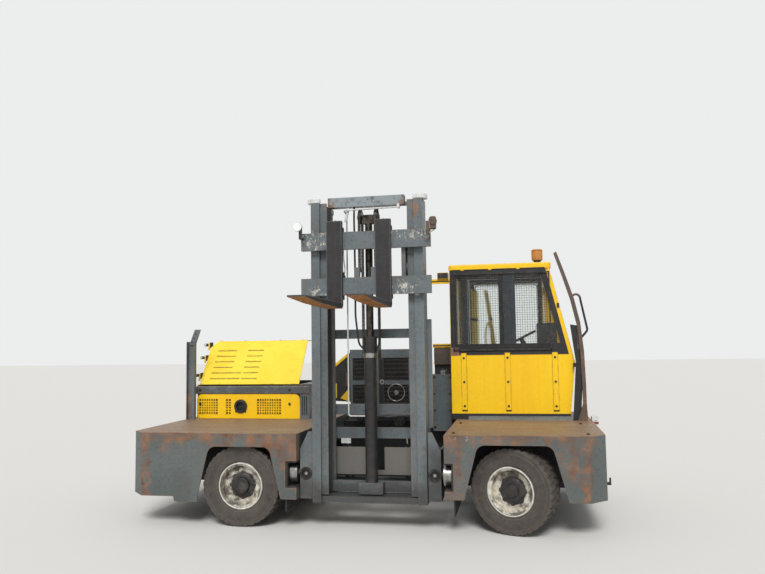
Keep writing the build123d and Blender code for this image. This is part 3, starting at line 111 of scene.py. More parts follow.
class Finish:
    """A finish in the making, with the patterns that the finishes share; sizes are in millimetres."""

    def __init__(self, name):
        self.material = bpy.data.materials.new(name)
        self.material.use_nodes = True
        self.tree = self.material.node_tree
        self.shader = self.tree.nodes["Principled BSDF"]
        self.place = self.add("TexCoord").outputs["Object"]

    def add(self, kind, inputs=None, **settings):
        """Adds one shader node to the finish."""
        return add(self.tree, "ShaderNode" + kind, inputs, **settings)

    def vector(self, operation, one, other):
        """Works two places together."""
        return self.add("VectorMath", {0: one, "Scale" if operation == "SCALE" else 1: other}, operation=operation)

    def both(self, one, other, operation="MULTIPLY"):
        """Works two amounts together."""
        return self.add("Math", {0: one, 1: other}, operation=operation, use_clamp=True)

    def spread(self, value, low, high, to_low=0, to_high=1):
        """The value with low brought to to_low and high to to_high, and cut off beyond them."""
        ends = {"From Min": low, "From Max": high, "To Min": to_low, "To Max": to_high}
        return self.add("MapRange", {"Value": value, **ends})

    def tint(self, amount, below, above):
        """The colour above laid over the colour below by an amount from 0 to 1; a colour may be a hex value."""
        below, above = (linear(colour) if isinstance(colour, str) else colour for colour in (below, above))
        return self.add("Mix", {0: amount, 6: below, 7: above}, data_type="RGBA").outputs[2]

    def patches(self, size, low, high, detail=4, roughness=0.55):
        """Ragged patches about size across, from 0 between them to 1 inside."""
        texture = {"Vector": self.place, "Scale": 1000 / size, "Detail": detail, "Roughness": roughness}
        return self.spread(self.add("TexNoise", texture).outputs["Fac"], low, high)

    def lines(self, lengthwise, spacing, low, high, turn=(0, 0, 0), stretch=30, place=None):
        """Uneven lines some way apart, drawn out along one axis: 0 beside them and 1 on them."""
        scale = [1000 / spacing] * 3
        scale[lengthwise] /= stretch
        laid = self.add("Mapping", {"Vector": place or self.place, "Rotation": turn, "Scale": scale})
        cloud = self.add("TexNoise", {"Vector": laid, "Scale": 1, "Detail": 3, "Roughness": 0.6})
        return self.spread(cloud.outputs["Fac"], low, high)

    def true_normal(self):
        """The direction that the flat face looks in."""
        return self.add("NewGeometry").outputs["True Normal"]

    def upward(self):
        """How far a face looks up: 1 on top, -1 underneath."""
        return self.add("SeparateXYZ", {0: self.true_normal()}).outputs[2]

    def worn_edges(self, width):
        """1 along the edges of the steel, over a width, and 0 on flats; keeps the softened normal."""
        self.soft = self.add("Bevel", {"Radius": width / 1000}, samples=4)
        apart = self.vector("DISTANCE", self.soft, self.true_normal())
        return self.spread(apart.outputs["Value"], 0.02, 0.12)

    def box_zone(self, place, low, high, fade):
        """1 inside a box on the truck, falling to 0 over fade outside it."""
        centre = (metres(low) + metres(high)) / 2
        half = (metres(high) - metres(low)) / 2
        distance = self.add("VectorMath", {0: self.vector("SUBTRACT", place, centre)}, operation="ABSOLUTE")
        axes = self.add("SeparateXYZ", {0: self.vector("SUBTRACT", distance, half)}).outputs
        wide = self.add("Math", {0: axes[0], 1: axes[1]}, operation="MAXIMUM")
        most = self.add("Math", {0: wide, 1: axes[2]}, operation="MAXIMUM")
        return self.spread(most, 0, fade / 1000, 1, 0)

    def frayed(self, amount, size):
        """The place, shifted to and fro by up to amount, so that a zone gets a ragged edge."""
        texture = {"Vector": self.place, "Scale": 1000 / size, "Detail": 5, "Roughness": 0.7}
        centred = self.vector("SUBTRACT", self.add("TexNoise", texture).outputs["Color"], (0.5, 0.5, 0.5))
        return self.vector("ADD", self.place, self.vector("SCALE", centred, amount / 250)).outputs[0]

    def bump(self, strength, depth, height, normal=None):
        """Raised and sunk grain of a depth."""
        inputs = {"Strength": strength, "Distance": depth / 1000, "Height": height}
        return self.add("Bump", {**inputs, "Normal": normal} if normal else inputs)

    def done(self, colour, roughness, normal=None, metallic=0.0, **more):
        """Puts everything on the shader, fixed numbers on its own sockets, and gives the material."""
        inputs = {"Base Color": colour, "Roughness": roughness, "Metallic": metallic}
        if normal:
            inputs["Normal"] = normal
        inputs.update({name.replace("_", " "): value for name, value in more.items()})
        plug(self.tree, self.shader, inputs)
        return self.material


# Finishes, each named for what it is on the real truck

def painted_steel(name, paint, faded, under, under_light, edge=1.0, scuffs=0.5, dirt=0.4, gloss=0.42,
                  zones=(), top=None, marks=(), covers=(), run_off=0.25):
    """Sprayed enamel on steel plate: chips to primer or rust on edges, scuffs, dirt and run-off.

    zones are boxes of rust (low, high, fade, strength), top holds three colours for faces that are
    walked on or loaded, marks are boxes in which a colour is rubbed on: scratches on the mast, a painted
    highlight on the near platform (colour, low, high), and covers are boxes of another coat, of grease
    and of painted shade (colour, low, high, amount, fade).
    """
    coat = Finish(name)
    ragged = coat.frayed(60, 90)
    colour = coat.tint(coat.patches(420, 0.4, 0.62), paint, faded)
    colour = coat.tint(coat.both(coat.lines(2, 34, 0.5, 0.72), run_off), colour, under)
    grime = coat.patches(28, 0.5, 0.75, detail=6, roughness=0.7)
    colour = coat.tint(coat.both(grime, dirt), colour, "#2b2622")
    scratch = coat.lines(0, 7, 0.63, 0.7, turn=(0, 0.12, 0))
    colour = coat.tint(coat.both(scratch, scuffs), colour, under_light)
    # Marks are scratches on the mast, and a painted highlight on the near platform's front edge.
    rubbed = coat.lines(2, 30, 0.57, 0.63, turn=(0, 0.2, 0), stretch=4, place=ragged) if marks else None
    for shade, low, high in marks:
        colour = coat.tint(coat.both(coat.box_zone(ragged, low, high, 30), rubbed), colour, shade)
    rust = coat.both(coat.both(coat.worn_edges(14), coat.patches(55, 0.42, 0.56)), edge)
    for low, high, fade, strength in zones:
        start = 0.56 - strength * 0.24
        blotch = coat.lines(2, 120, start, start + 0.2, stretch=2.2)
        rust = coat.both(rust, coat.both(coat.box_zone(ragged, low, high, fade), blotch), "MAXIMUM")
    brushed = coat.lines(0, 12, 0.25, 0.7)
    rust = coat.both(rust, coat.both(brushed, 0.3, "ADD"))
    if top:
        level = coat.spread(coat.upward(), 0.85, 0.95)
        walked = coat.lines(0, 26, 0.36, 0.66, turn=(0, 0, 0.06))
        scuffed = coat.tint(coat.patches(240, 0.5, 0.64), coat.tint(walked, top[0], top[1]), top[2])
        colour = coat.tint(level, colour, scuffed)
        rust = coat.both(rust, coat.both(level, -0.6), "ADD")
    colour = coat.tint(rust, colour, coat.tint(coat.patches(130, 0.38, 0.62), under, under_light))
    # Boxes of another coat or grease, and boxes of painted shade inside the cab and in the mast's recesses.
    for shade, low, high, amount, fade in covers:
        zone = coat.box_zone(ragged if fade > 9 else coat.place, low, high, fade)
        colour = coat.tint(coat.both(zone, amount), colour, shade)
    rough = coat.spread(coat.both(rust, grime, "MAXIMUM"), 0, 1, gloss, 0.9)
    height = coat.add("Math", {0: grime, 1: rust}, operation="SUBTRACT")
    return coat.done(colour, rough, coat.bump(0.25, 1.2, height))


def deck_rust():
    """Boxes of rust on the platforms: their upper edges, then the corners and arches of the near side."""
    edges = [
        ((x0, y0, 785), (x1, y1, DECK_TOP), 35, strength)
        for x0, x1 in ((-2168, -517), (808, 2168))
        for y0, y1, strength in ((-5, 40, 0.8), (2210, 2255, 0.7))
    ]
    return edges + [((x0, -5, z0), (x1, 30, DECK_TOP), fade, strength) for x0, x1, z0, fade, strength in (
        (-2026, -1955, 269, 26, 1.15), (-2026, -1740, 700, 60, 0.45), (-1300, -700, 730, 40, 0.55),
        (-820, -517, 560, 60, 0.55), (808, 930, 299, 60, 0.7), (1750, 2018, 500, 60, 0.5),
        (1965, 2018, 299, 20, 1.0),
    )]


def mast_shade_and_coats():
    """Grease and painted shade on the mast's lower beams and inside its channels, wings darker low down,
    brown dust and a brighter coat on other parts.
    """
    return [
        # Low between the channels: grease and painted shade.
        ("#332e2a", (-360, 60, 230), (624, 300, 330), 0.7, 120),
        ("#77726a", (-510, 405, 425), (774, 425, 685), 0.85, 2),
        # The reach frame's wings, darker towards the bottom.
        ("#3b3630", (-600, 88, 250), (-470, 120, 420), 0.6, 160),
        ("#302d29", (744, 88, 250), (864, 120, 620), 0.8, 160),
        ("#3c382d", (-2090, 1270, 1110), (-760, 1350, 1206), 0.45, 12),
        ("#929b9f", (-200, 140, 2908), (410, 245, 3010), 0.75, 25),
        # Inside the channels: grease and painted shade in the recess.
        ("#2d2a28", (MAST_X - 504, 116, 300), (MAST_X - 376, 276, 2946), 0.7, 2),
        ("#2d2a28", (MAST_X + 372, 116, 300), (MAST_X + 500, 276, 2946), 0.7, 2),
    ]


def make_finishes():
    """Every finish by name, with the real material and process in its comment."""
    cream = [("#cfc9b8", (x0, -10, z0), (x1, 60, z1)) for x0, x1, z0, z1 in (
        (-464, -215, 2490, 2660), (386, 730, 2590, 2660), (386, 600, 2080, 2170), (-350, -215, 2080, 2140))]
    mast_zones = [
        ((-255, 100, 2905), (-190, 260, 3010), 25, 0.8), ((399, 100, 2905), (484, 260, 3010), 25, 0.9),
        ((560, 40, 2790), (600, 90, 2960), 22, 0.9), ((-2168, 1150, DECK_TOP - 4), (-2140, 1230, 1300), 25, 0.9),
        ((-2110, 1270, 1110), (-1990, 1360, 1215), 40, 0.8),
    ]
    side_plate = [("#1f2021", low, high, 1.0, 2) for low, high in (
        ((1975, 1277, DECK_TOP), (2083, 1291, 1300)), ((1975, 1277, 1300), (2074, 1291, 1560)),
        ((1975, 1277, 1560), (2050, 1291, 1816)), ((2090, 1255, 1660), (2175, 1285, 2160)))]
    made = [
        # Slate grey enamel sprayed on thick plate, which logs and bundles have rubbed to rust along the edges.
        painted_steel(
            DECK, "#5b6362", "#505857", "#6a4b3a", "#8e664b", zones=deck_rust(), gloss=0.5,
            # The cream mark on the near platform's rounded front edge is a painted highlight.
            top=("#75604e", "#957d64", "#866a52"), marks=[("#d8cfb8", (815, -5, 812), (1010, 20, DECK_TOP))]),
        # Blue-grey enamel on rolled mast channels, greasy where the beams slide, chipped on the fork bars;
        # the dark low on the mast and inside its channels is painted shade as well as grease.
        painted_steel(
            MAST, "#656f73", "#596265", "#6e5140", "#9c7558", edge=0.55, dirt=0.45, zones=mast_zones,
            marks=cream, covers=mast_shade_and_coats()),
        # Yellow enamel bleached and scribbled with scratches by the loads that slide over the hood.
        painted_steel(
            HOOD, "#f8db3e", "#f4d02c", "#5b4a26", "#c9a32a", edge=0.5, scuffs=0.8, dirt=0.14, gloss=0.34,
            run_off=0.05),
        # Warmer yellow enamel on sheet that stands upright and keeps its colour; the dark grey inside the cab
        # is painted shade.
        painted_steel(
            CAB, "#fdcd06", "#fcc702", "#6b4a1c", "#a5782a", edge=0.4, scuffs=0.1, dirt=0.1, gloss=0.3, run_off=0.08,
            covers=[("#26282a", (799, 1373.5, 905), (1745, 2215, 2413), 1.0, 2)]),
        # Dull black coat on frames and brackets, dusty in the corners; on the chassis frame, the mast's rails,
        # the cab's base and the free-lift barrel the black is partly painted shade.
        painted_steel(BLACK, "#16181a", "#1f2123", "#4a3a31", "#6f675e", edge=0.4, scuffs=0.2, dirt=0.2, gloss=0.5),
        # Dark paint worn off a bent bar that is brown with rust; the plate beside it keeps its black.
        painted_steel(
            GUARD, "#5b4e45", "#4d433c", "#5c3d2d", "#84654f", edge=0.9, scuffs=0.4, dirt=0.3, gloss=0.55,
            zones=[((1990, 1240, 840), (2130, 1300, 1500), 80, 0.4)], covers=side_plate),
        # White enamel on caps and lamp shells, greyed by dust; the small discs on the latch grips are painted
        # highlights.
        painted_steel(WHITE, "#dfe1df", "#cdd0ce", "#6e5a4a", "#a9927c", edge=0.3, scuffs=0.2, dirt=0.3, gloss=0.35),
        # Bare sheet where the frame's paint has flaked: pink primer with rust through it.
        painted_steel(
            "rusty patch", "#8a6157", "#5d4640", "#4b332a", "#a5756a", edge=0.9, scuffs=0.6, dirt=0.7, gloss=0.7),
        fork_steel(), cast_iron(), rim_paint(), tyre_rubber(), window_glass(), vinyl(),
        # Faces turned or ground bright, then dulled by hands and weather.
        bare_metal(STEEL, "#a9a8a4", "#6e6a64", 0.34),
        # Hard chrome plate on piston rods, a clear mirror under a thin film of oil.
        bare_metal("chrome", "#d9dadb", "#b4b5b6", 0.12),
        # Rolled link plates soaked in dark oil.
        bare_metal(CHAIN, "#56514a", "#2e2a26", 0.38),
        # Moulded covers and grips, then rubber profile, then the smooth dark enamel of the sliding sash.
        plain_coat(PLASTIC, "#232426", 0.55),
        plain_coat(RUBBER, "#1b1b1b", 0.7),
        plain_coat(SASH, "#333d43", 0.35),
        # Ribbed pressed glass over a mirror; its pale colour is painted reflection of the sky.
        plain_coat("lamp glass", "#eef0ee", 0.2),
        lens("amber lens", "#c98420", 0.25),
        lens("red lens", "#8e1f19", 0.2),
    ]
    return {finish.name: finish for finish in made}


def rim_paint():
    """Chalky off-white paint on a pressed wheel disc, mostly hidden under dried mud and brake dust."""
    coat = Finish("rim paint")
    colour = coat.tint(coat.patches(40, 0.4, 0.65, detail=5), "#dcd7c9", "#b7ae9b")
    mud = coat.patches(110, 0.42, 0.56, detail=6, roughness=0.65)
    crust = coat.tint(coat.patches(24, 0.35, 0.65, detail=5), "#2c2722", "#574b3e")
    colour = coat.tint(coat.both(mud, 0.88), colour, crust)
    colour = coat.tint(coat.both(coat.worn_edges(6), 0.6), colour, "#8d8576")
    return coat.done(colour, coat.spread(mud, 0, 1, 0.42, 0.9), coat.bump(0.3, 1.5, mud))


def fork_steel():
    """Forged and flame-hardened bar: dark scale on the shanks, orange rust under the blades."""
    coat = Finish("fork steel")
    scale = coat.tint(coat.patches(120, 0.35, 0.65), "#222224", "#2d2c2e")
    scale = coat.tint(coat.both(coat.lines(2, 22, 0.48, 0.68), 0.5), scale, "#3b332d")
    under = coat.both(coat.spread(coat.upward(), -0.2, -0.7), coat.patches(200, 0.25, 0.42))
    rust = coat.tint(coat.patches(45, 0.38, 0.62), "#7a4a26", "#ad7638")
    colour = coat.tint(under, scale, rust)
    colour = coat.tint(coat.both(coat.worn_edges(8), 0.6), colour, "#8f8880")
    grain = coat.patches(9, 0.3, 0.7, detail=6)
    return coat.done(colour, coat.spread(grain, 0, 1, 0.55, 0.85), coat.bump(0.35, 1, grain, coat.soft))


def cast_iron():
    """Sand-cast housing, grainy, dark with oil and road dust."""
    coat = Finish("cast iron")
    colour = coat.tint(coat.patches(90, 0.4, 0.65), "#34322f", "#51483e")
    colour = coat.tint(coat.both(coat.worn_edges(6), 0.5), colour, "#76706a")
    return coat.done(colour, 0.62, coat.bump(0.5, 0.8, coat.patches(5, 0.3, 0.7, detail=6)), 0.35)


def bare_metal(name, colour, dull, roughness):
    """Bare metal that is turned, drawn or plated, with oil and finger marks on it."""
    coat = Finish(name)
    shade = coat.tint(coat.patches(45, 0.45, 0.7, detail=5), colour, dull)
    lines = coat.lines(0, 3, 0.3, 0.7)
    rough = coat.spread(lines, 0, 1, roughness * 0.8, roughness * 1.3)
    return coat.done(shade, rough, coat.bump(0.08, 0.4, lines), 1.0)


def tyre_rubber():
    """Solid rubber tyre: black compound under brown road dust, polished where it rolls."""
    coat = Finish("tyre rubber")
    colour = coat.tint(coat.patches(60, 0.35, 0.7, detail=7, roughness=0.7), "#3a3633", "#544d47")
    colour = coat.tint(coat.both(coat.worn_edges(7), 0.4), colour, "#6b6258")
    return coat.done(colour, 0.82, coat.bump(0.4, 0.8, coat.patches(4, 0.3, 0.7, detail=5)))


def window_glass():
    """Toughened glass, clear with a slight green and a film of dust."""
    coat = Finish("window glass")
    rough = coat.spread(coat.patches(70, 0.45, 0.8, detail=6), 0, 1, 0.02, 0.12)
    return coat.done(linear("#dfe9e4"), rough, Transmission_Weight=0.94, IOR=1.45, Alpha=0.35)


def vinyl():
    """Embossed vinyl cloth over foam: fine leather grain about 3 mm across, a soft sheen."""
    coat = Finish("vinyl")
    cells = coat.add("TexVoronoi", {"Vector": coat.place, "Scale": 1000 / 3.0}, feature="DISTANCE_TO_EDGE")
    crease = coat.spread(cells.outputs["Distance"], 0, 0.25)
    colour = coat.tint(coat.patches(110, 0.4, 0.7), "#26272a", "#37383b")
    return coat.done(colour, 0.5, coat.bump(0.35, 0.6, crease), Sheen_Weight=0.15)


def plain_coat(name, colour, roughness):
    """Smooth even surface with a fine texture and pale dust in patches."""
    coat = Finish(name)
    shade = coat.tint(coat.both(coat.patches(50, 0.5, 0.8, detail=6), 0.5), colour, "#6a655d")
    return coat.done(shade, roughness, coat.bump(0.15, 0.4, coat.patches(2.5, 0.3, 0.7)))


def lens(name, colour, roughness):
    """Moulded lamp lens, coloured through and lit from inside by what passes in."""
    coat = Finish(name)
    shade = coat.tint(coat.patches(20, 0.45, 0.7), colour, "#8a8378")
    rough = coat.spread(coat.patches(8, 0.4, 0.7), 0, 1, roughness, roughness + 0.2)
    return coat.done(shade, rough, Subsurface_Weight=0.25, Subsurface_Radius=(0.01, 0.006, 0.003), Coat_Weight=0.4)


FINISHES = {}
NODE_FINISHES = {
    DECK: "rear_deck front_deck fuel_tank",
    MAST: "kick_plate engine_bay hood_rail rear_post hydraulic_tank reach_frame tilt_barrels cooler "
          "outer_mast lift_barrels inner_mast fork_carriage",
    HOOD: "engine_hood",
    CAB: "grille_panel cab_near_wall cab_far_wall cab_rear_wall cab_front_wall cab_roof cab_door rear_lamp",
    # Black on the chassis frame, mast rails, cab base and free-lift barrel is partly painted shade.
    BLACK: "chassis_frame mast_rails cab_base window_frame end_fittings work_lamps free_lift_barrel exhaust_outlet",
    WHITE: "mast_pipes",
    GUARD: "guard_bar",
    "fork steel": "fork_rear fork_front",
    "cast iron": "drive_axle steer_axle knuckle_near knuckle_far tie_rod engine",
    STEEL: "reach_rollers",
    CHAIN: "lift_chains lift_crosshead",
    "chrome": "tilt_rods",
    "rim paint": "rim_rear_near rim_rear_far rim_front_near rim_front_far",
    "tyre rubber": "tyre_rear_near tyre_rear_far tyre_front_near tyre_front_far",
    "window glass": "cab_glass door_glass",
    "vinyl": "seat",
    PLASTIC: "driver_console",
    "amber lens": "beacon",
}


# Shapes, built in millimetres on the truck

def linked(name, data):
    """An object made of this data and put in the scene."""
    made = bpy.data.objects.new(name, data)
    bpy.context.scene.collection.objects.link(made)
    return made


def mesh_of(form, name):
    """What a form holds, as a mesh."""
    mesh = bpy.data.meshes.new(name)
    form.to_mesh(mesh)
    return mesh


def worked_out(holder):
    """The mesh that an object's modifiers make of it."""
    return bpy.data.meshes.new_from_object(holder.evaluated_get(bpy.context.evaluated_depsgraph_get()))


def circle(axis, sides):
    """The axis at length 1, and directions square to it all round."""
    axis = Vector(axis).normalized()
    side = axis.orthogonal().normalized()
    other = axis.cross(side)
    turns = [2 * math.pi * at / sides for at in range(sides)]
    return axis, [side * math.cos(turn) + other * math.sin(turn) for turn in turns]


def arc(x, y, radius, start, end):
    """Points of an arc about x, y between two angles in degrees, one each 15 degrees."""
    angles = [math.radians(turn) for turn in range(start, end + 1, 15)]
    return [(x + radius * math.cos(angle), y + radius * math.sin(angle)) for angle in angles]


def upright(y, points):
    """Points given as x and z, all at one y."""
    return [(x, y, z) for x, z in points]


# Points nearer than WELD are joined; a turned shape ends on its axis with a radius of TIP
WELD, TIP = 0.02, 0.01


class Shape:
    """A mesh in the making; each face remembers which finish it gets."""

    def __init__(self):
        self.mesh = bmesh.new()
        self.finishes = []

    def paint(self, faces, finish):
        """Gives the faces their finish."""
        if finish not in self.finishes:
            self.finishes.append(finish)
        for face in faces:
            face.material_index = self.finishes.index(finish)

    def joined(self, rows):
        """Quads between rows of equally many points."""
        faces = []
        for one, other in zip(rows, rows[1:]):
            for at in range(len(one)):
                after = (at + 1) % len(one)
                faces.append(self.mesh.faces.new((one[at], one[after], other[after], other[at])))
        return faces

    def skin(self, rings, finish, closed=True):
        """Joins rings of equally many points with quads, and caps both ends unless it is left open."""
        rows = [[self.mesh.verts.new(point) for point in ring] for ring in rings]
        faces = self.joined(rows)
        if closed:
            faces.append(self.mesh.faces.new(rows[0][::-1]))
            faces.append(self.mesh.faces.new(rows[-1]))
        self.paint(faces, finish)

    def box(self, low, high, finish, chamfer=0):
        """Box between two corners, with its edges cut back by chamfer."""
        (x0, y0, z0), (x1, y1, z1) = low, high
        inset = min(chamfer, (x1 - x0) * 0.45, (y1 - y0) * 0.45, (z1 - z0) * 0.45)
        if not inset:
            self.skin([[(x0, y0, z), (x1, y0, z), (x1, y1, z), (x0, y1, z)] for z in (z0, z1)], finish)
            return
        cut = inset * 0.7
        rings = []
        for z, back in ((z0, inset), (z0 + inset, 0), (z1 - inset, 0), (z1, inset)):
            a, b, c, d = x0 + back, x1 - back, y0 + back, y1 - back
            rings.append([(a + cut, c, z), (b - cut, c, z), (b, c + cut, z), (b, d - cut, z),
                          (b - cut, d, z), (a + cut, d, z), (a, d - cut, z), (a, c + cut, z)])
        self.skin(rings, finish)

    def boxes(self, *rows):
        """Several boxes, each given as for box."""
        for row in rows:
            self.box(*row)

    def turned(self, profile, start, direction, finish, sides=24, closed=True):
        """Outline of (distance along, radius) points turned about an axis from start."""
        axis, spokes = circle(direction, sides)
        centres = [(Vector(start) + axis * along, max(radius, TIP)) for along, radius in profile]
        self.skin([[centre + spoke * radius for spoke in spokes] for centre, radius in centres], finish, closed)

    def rod(self, start, end, radius, finish, sides=16, chamfer=0):
        """Round bar between two points."""
        run = Vector(end) - Vector(start)
        profile = [(0, radius), (run.length, radius)]
        if chamfer:
            inner = radius - chamfer
            profile = [(0, inner), (chamfer, radius), (run.length - chamfer, radius), (run.length, inner)]
        self.turned(profile, start, run, finish, sides)

    def prism(self, outline, push, finish):
        """Flat outline of three-way points pushed along a vector."""
        self.skin([[Vector(point) for point in outline], [Vector(point) + Vector(push) for point in outline]], finish)

    def tube(self, points, radius, finish, sides=8, bend=0):
        """Round tube along points, with its corners rounded by bend."""
        path = [Vector(point) for point in points]
        if bend:
            rounded = [path[0]]
            for before, corner, after in zip(path, path[1:], path[2:]):
                back = (before - corner).normalized() * min(bend, (before - corner).length * 0.45)
                on = (after - corner).normalized() * min(bend, (after - corner).length * 0.45)
                for share in (0, 0.25, 0.5, 0.75, 1):
                    rounded.append(corner + back * (1 - share) ** 2 + on * share ** 2)
            path = rounded + [path[-1]]
        turns = [2 * math.pi * step / sides for step in range(sides)]
        rings = []
        side = None
        for at, point in enumerate(path):
            ahead = (path[min(at + 1, len(path) - 1)] - path[max(at - 1, 0)]).normalized()
            side = ahead.orthogonal().normalized() if side is None else (side - ahead * side.dot(ahead)).normalized()
            other = ahead.cross(side)
            rings.append([point + (side * math.cos(turn) + other * math.sin(turn)) * radius for turn in turns])
        self.skin(rings, finish)

    def ring(self, centre, radius, thickness, axis, finish, sides=32, around=8):
        """Round wire bent to a full circle about an axis."""
        axis, spokes = circle(axis, sides)
        rolls = [2 * math.pi * step / around for step in range(around)]
        across = [(radius + thickness * math.cos(roll), axis * thickness * math.sin(roll)) for roll in rolls]
        rows = [[self.mesh.verts.new(Vector(centre) + spoke * far + rise) for far, rise in across] for spoke in spokes]
        self.paint(self.joined(rows + rows[:1]), finish)

    def take(self, mesh, finish):
        """Adds a plain mesh's faces with one finish."""
        before = set(self.mesh.faces)
        self.mesh.from_mesh(mesh)
        self.paint([face for face in self.mesh.faces if face not in before], finish)

    def repeat(self, unit, finish, columns=1, rows=1, step=(0, 0, 0), row_step=(0, 0, 0), turn=(0, 0, 0),
               place=(0, 0, 0), tilt=(0, 0, 0), uneven=0.0):
        """Adds copies of a small shape, placed by the copying tree."""
        mesh = mesh_of(unit.mesh, "unit")
        holder = linked("copies", mesh)
        modifier = holder.modifiers.new("copies", "NODES")
        modifier.node_group = copying_tree()
        values = {
            "Columns": columns, "Rows": rows, "Step": step, "Row step": row_step, "Turn": turn,
            "Place": place, "Tilt": tilt, "Uneven": uneven, "Finish": FINISHES[finish],
        }
        for item in modifier.node_group.interface.items_tree:
            if item.in_out == "INPUT" and item.name in values:
                modifier[item.identifier] = values[item.name]
        made = worked_out(holder)
        holder.modifiers.remove(modifier)
        self.take(made, finish)
        bpy.data.objects.remove(holder)
        bpy.data.meshes.remove(made)
        bpy.data.meshes.remove(mesh)

    def moved(self, matrix):
        """Moves everything made so far, in millimetres."""
        bmesh.ops.transform(self.mesh, matrix=matrix, verts=self.mesh.verts)
        return self

    def welded(self, name):
        """The mesh with its points joined and its faces looking outward."""
        bmesh.ops.remove_doubles(self.mesh, verts=self.mesh.verts, dist=WELD)
        bmesh.ops.recalc_face_normals(self.mesh, faces=self.mesh.faces)
        return mesh_of(self.mesh, name)

    def finish_piece(self, name, body, replaces=(), smooth=35):
        """Turns the shape into an object at the origin that rides on a body."""
        mesh = self.welded(name)
        self.mesh.free()
        mesh.transform(TO_METRES)
        for finish in self.finishes:
            mesh.materials.append(FINISHES[finish])
        mesh.shade_smooth()
        mesh.set_sharp_from_angle(angle=math.radians(smooth))
        piece = linked(name, mesh)
        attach(piece, body)
        if replaces:
            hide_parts(*replaces)
        return piece


def copying_tree():
    """Tree that copies a shape in columns and rows, each column turned further, then tilts and places all."""
    found = bpy.data.node_groups.get("copies in rows")
    if found:
        return found
    tree = bpy.data.node_groups.new("copies in rows", "GeometryNodeTree")
    tree.interface.new_socket("Geometry", in_out="OUTPUT", socket_type="NodeSocketGeometry")
    for name, kind in (
        ("Geometry", "Geometry"), ("Columns", "Int"), ("Rows", "Int"), ("Step", "Vector"), ("Row step", "Vector"),
        ("Turn", "Vector"), ("Place", "Vector"), ("Tilt", "Vector"), ("Uneven", "Float"), ("Finish", "Material"),
    ):
        tree.interface.new_socket(name, in_out="INPUT", socket_type="NodeSocket" + kind)
    given = add(tree, "NodeGroupInput").outputs

    def amount(operation, one, other=0):
        return add(tree, "ShaderNodeMath", {0: one, 1: other}, operation=operation)

    def scaled(vector, by):
        return add(tree, "ShaderNodeVectorMath", {0: vector, "Scale": by}, operation="SCALE")

    def joined(one, other):
        return add(tree, "ShaderNodeVectorMath", {0: one, 1: other}, operation="ADD")

    index = add(tree, "GeometryNodeInputIndex")
    column = amount("MODULO", index, given["Columns"])
    row = amount("FLOOR", amount("DIVIDE", index, given["Columns"]))
    spot = joined(scaled(given["Step"], column), scaled(given["Row step"], row))
    draw = {"Min": (-1, -1, -1), "Max": (1, 1, 1), "Seed": 7}
    chance = add(tree, "FunctionNodeRandomValue", draw, data_type="FLOAT_VECTOR")
    spot = joined(spot, scaled(chance, given["Uneven"]))
    count = amount("MULTIPLY", given["Columns"], given["Rows"])
    points = add(tree, "GeometryNodePoints", {"Count": count, "Position": spot})
    placed = {"Points": points, "Instance": given["Geometry"], "Rotation": scaled(given["Turn"], column)}
    real = add(tree, "GeometryNodeRealizeInstances", {"Geometry": add(tree, "GeometryNodeInstanceOnPoints", placed)})
    shifts = {"Geometry": real, "Translation": given["Place"], "Rotation": given["Tilt"]}
    laid = add(tree, "GeometryNodeTransform", shifts)
    coated = add(tree, "GeometryNodeSetMaterial", {"Geometry": laid, "Material": given["Finish"]})
    add(tree, "NodeGroupOutput", {"Geometry": coated})
    return tree


# How far a bolt head that stands upright is turned about X to look up, to the near side and to the far side
UP, TO_NEAR, TO_FAR = 0, math.pi / 2, -math.pi / 2


def bolt_head(size, looking=TO_NEAR):
    """Hexagon head on a washer, looking up, to the near side or to the far side."""
    unit = Shape()
    height = size * 0.4
    head = [(0, size * 0.5), (height * 0.85, size * 0.5), (height, size * 0.42)]
    unit.turned([(0, size * 0.78), (size * 0.12, size * 0.78)], (0, 0, 0), Z_AXIS, STEEL, sides=12)
    unit.turned(head, (0, 0, size * 0.12), Z_AXIS, STEEL, sides=6)
    return unit.moved(Matrix.Rotation(looking, 4, "X"))


# Height and X of the cab's front edge at its foot, at its bend and at its top
CAB_EDGE = ((905, 1968), (1428, 2026), (2412, 1795))


def cab_front(z):
    """X of the cab's front edge at a height."""
    (z0, x0), (z1, x1) = CAB_EDGE[:2] if z <= CAB_EDGE[1][0] else CAB_EDGE[1:]
    return x0 + (x1 - x0) * ((z - z0) / (z1 - z0))


# Height of the axles, and radius of the tyres over their lugs
TYRE_RADIUS = 366


def wheel_matrix(corner):
    """Place of a wheel whose axle lies along Y and whose outer side looks towards -Y."""
    end, side = corner.split("_")
    half_turn = Matrix.Rotation(math.pi, 4, "Z") if side == "far" else Matrix.Identity(4)
    if end == "rear":
        return Matrix.Translation((-1065, 2082.5 if side == "far" else 167.5, TYRE_RADIUS)) @ half_turn
    kingpin = Matrix.Translation((1452, 1934.5 if side == "far" else 315.5, TYRE_RADIUS))
    offset = Matrix.Translation((0, 148 if side == "far" else -148, 0))
    return kingpin @ Matrix.Rotation(math.radians(-20), 4, "Z") @ offset @ half_turn


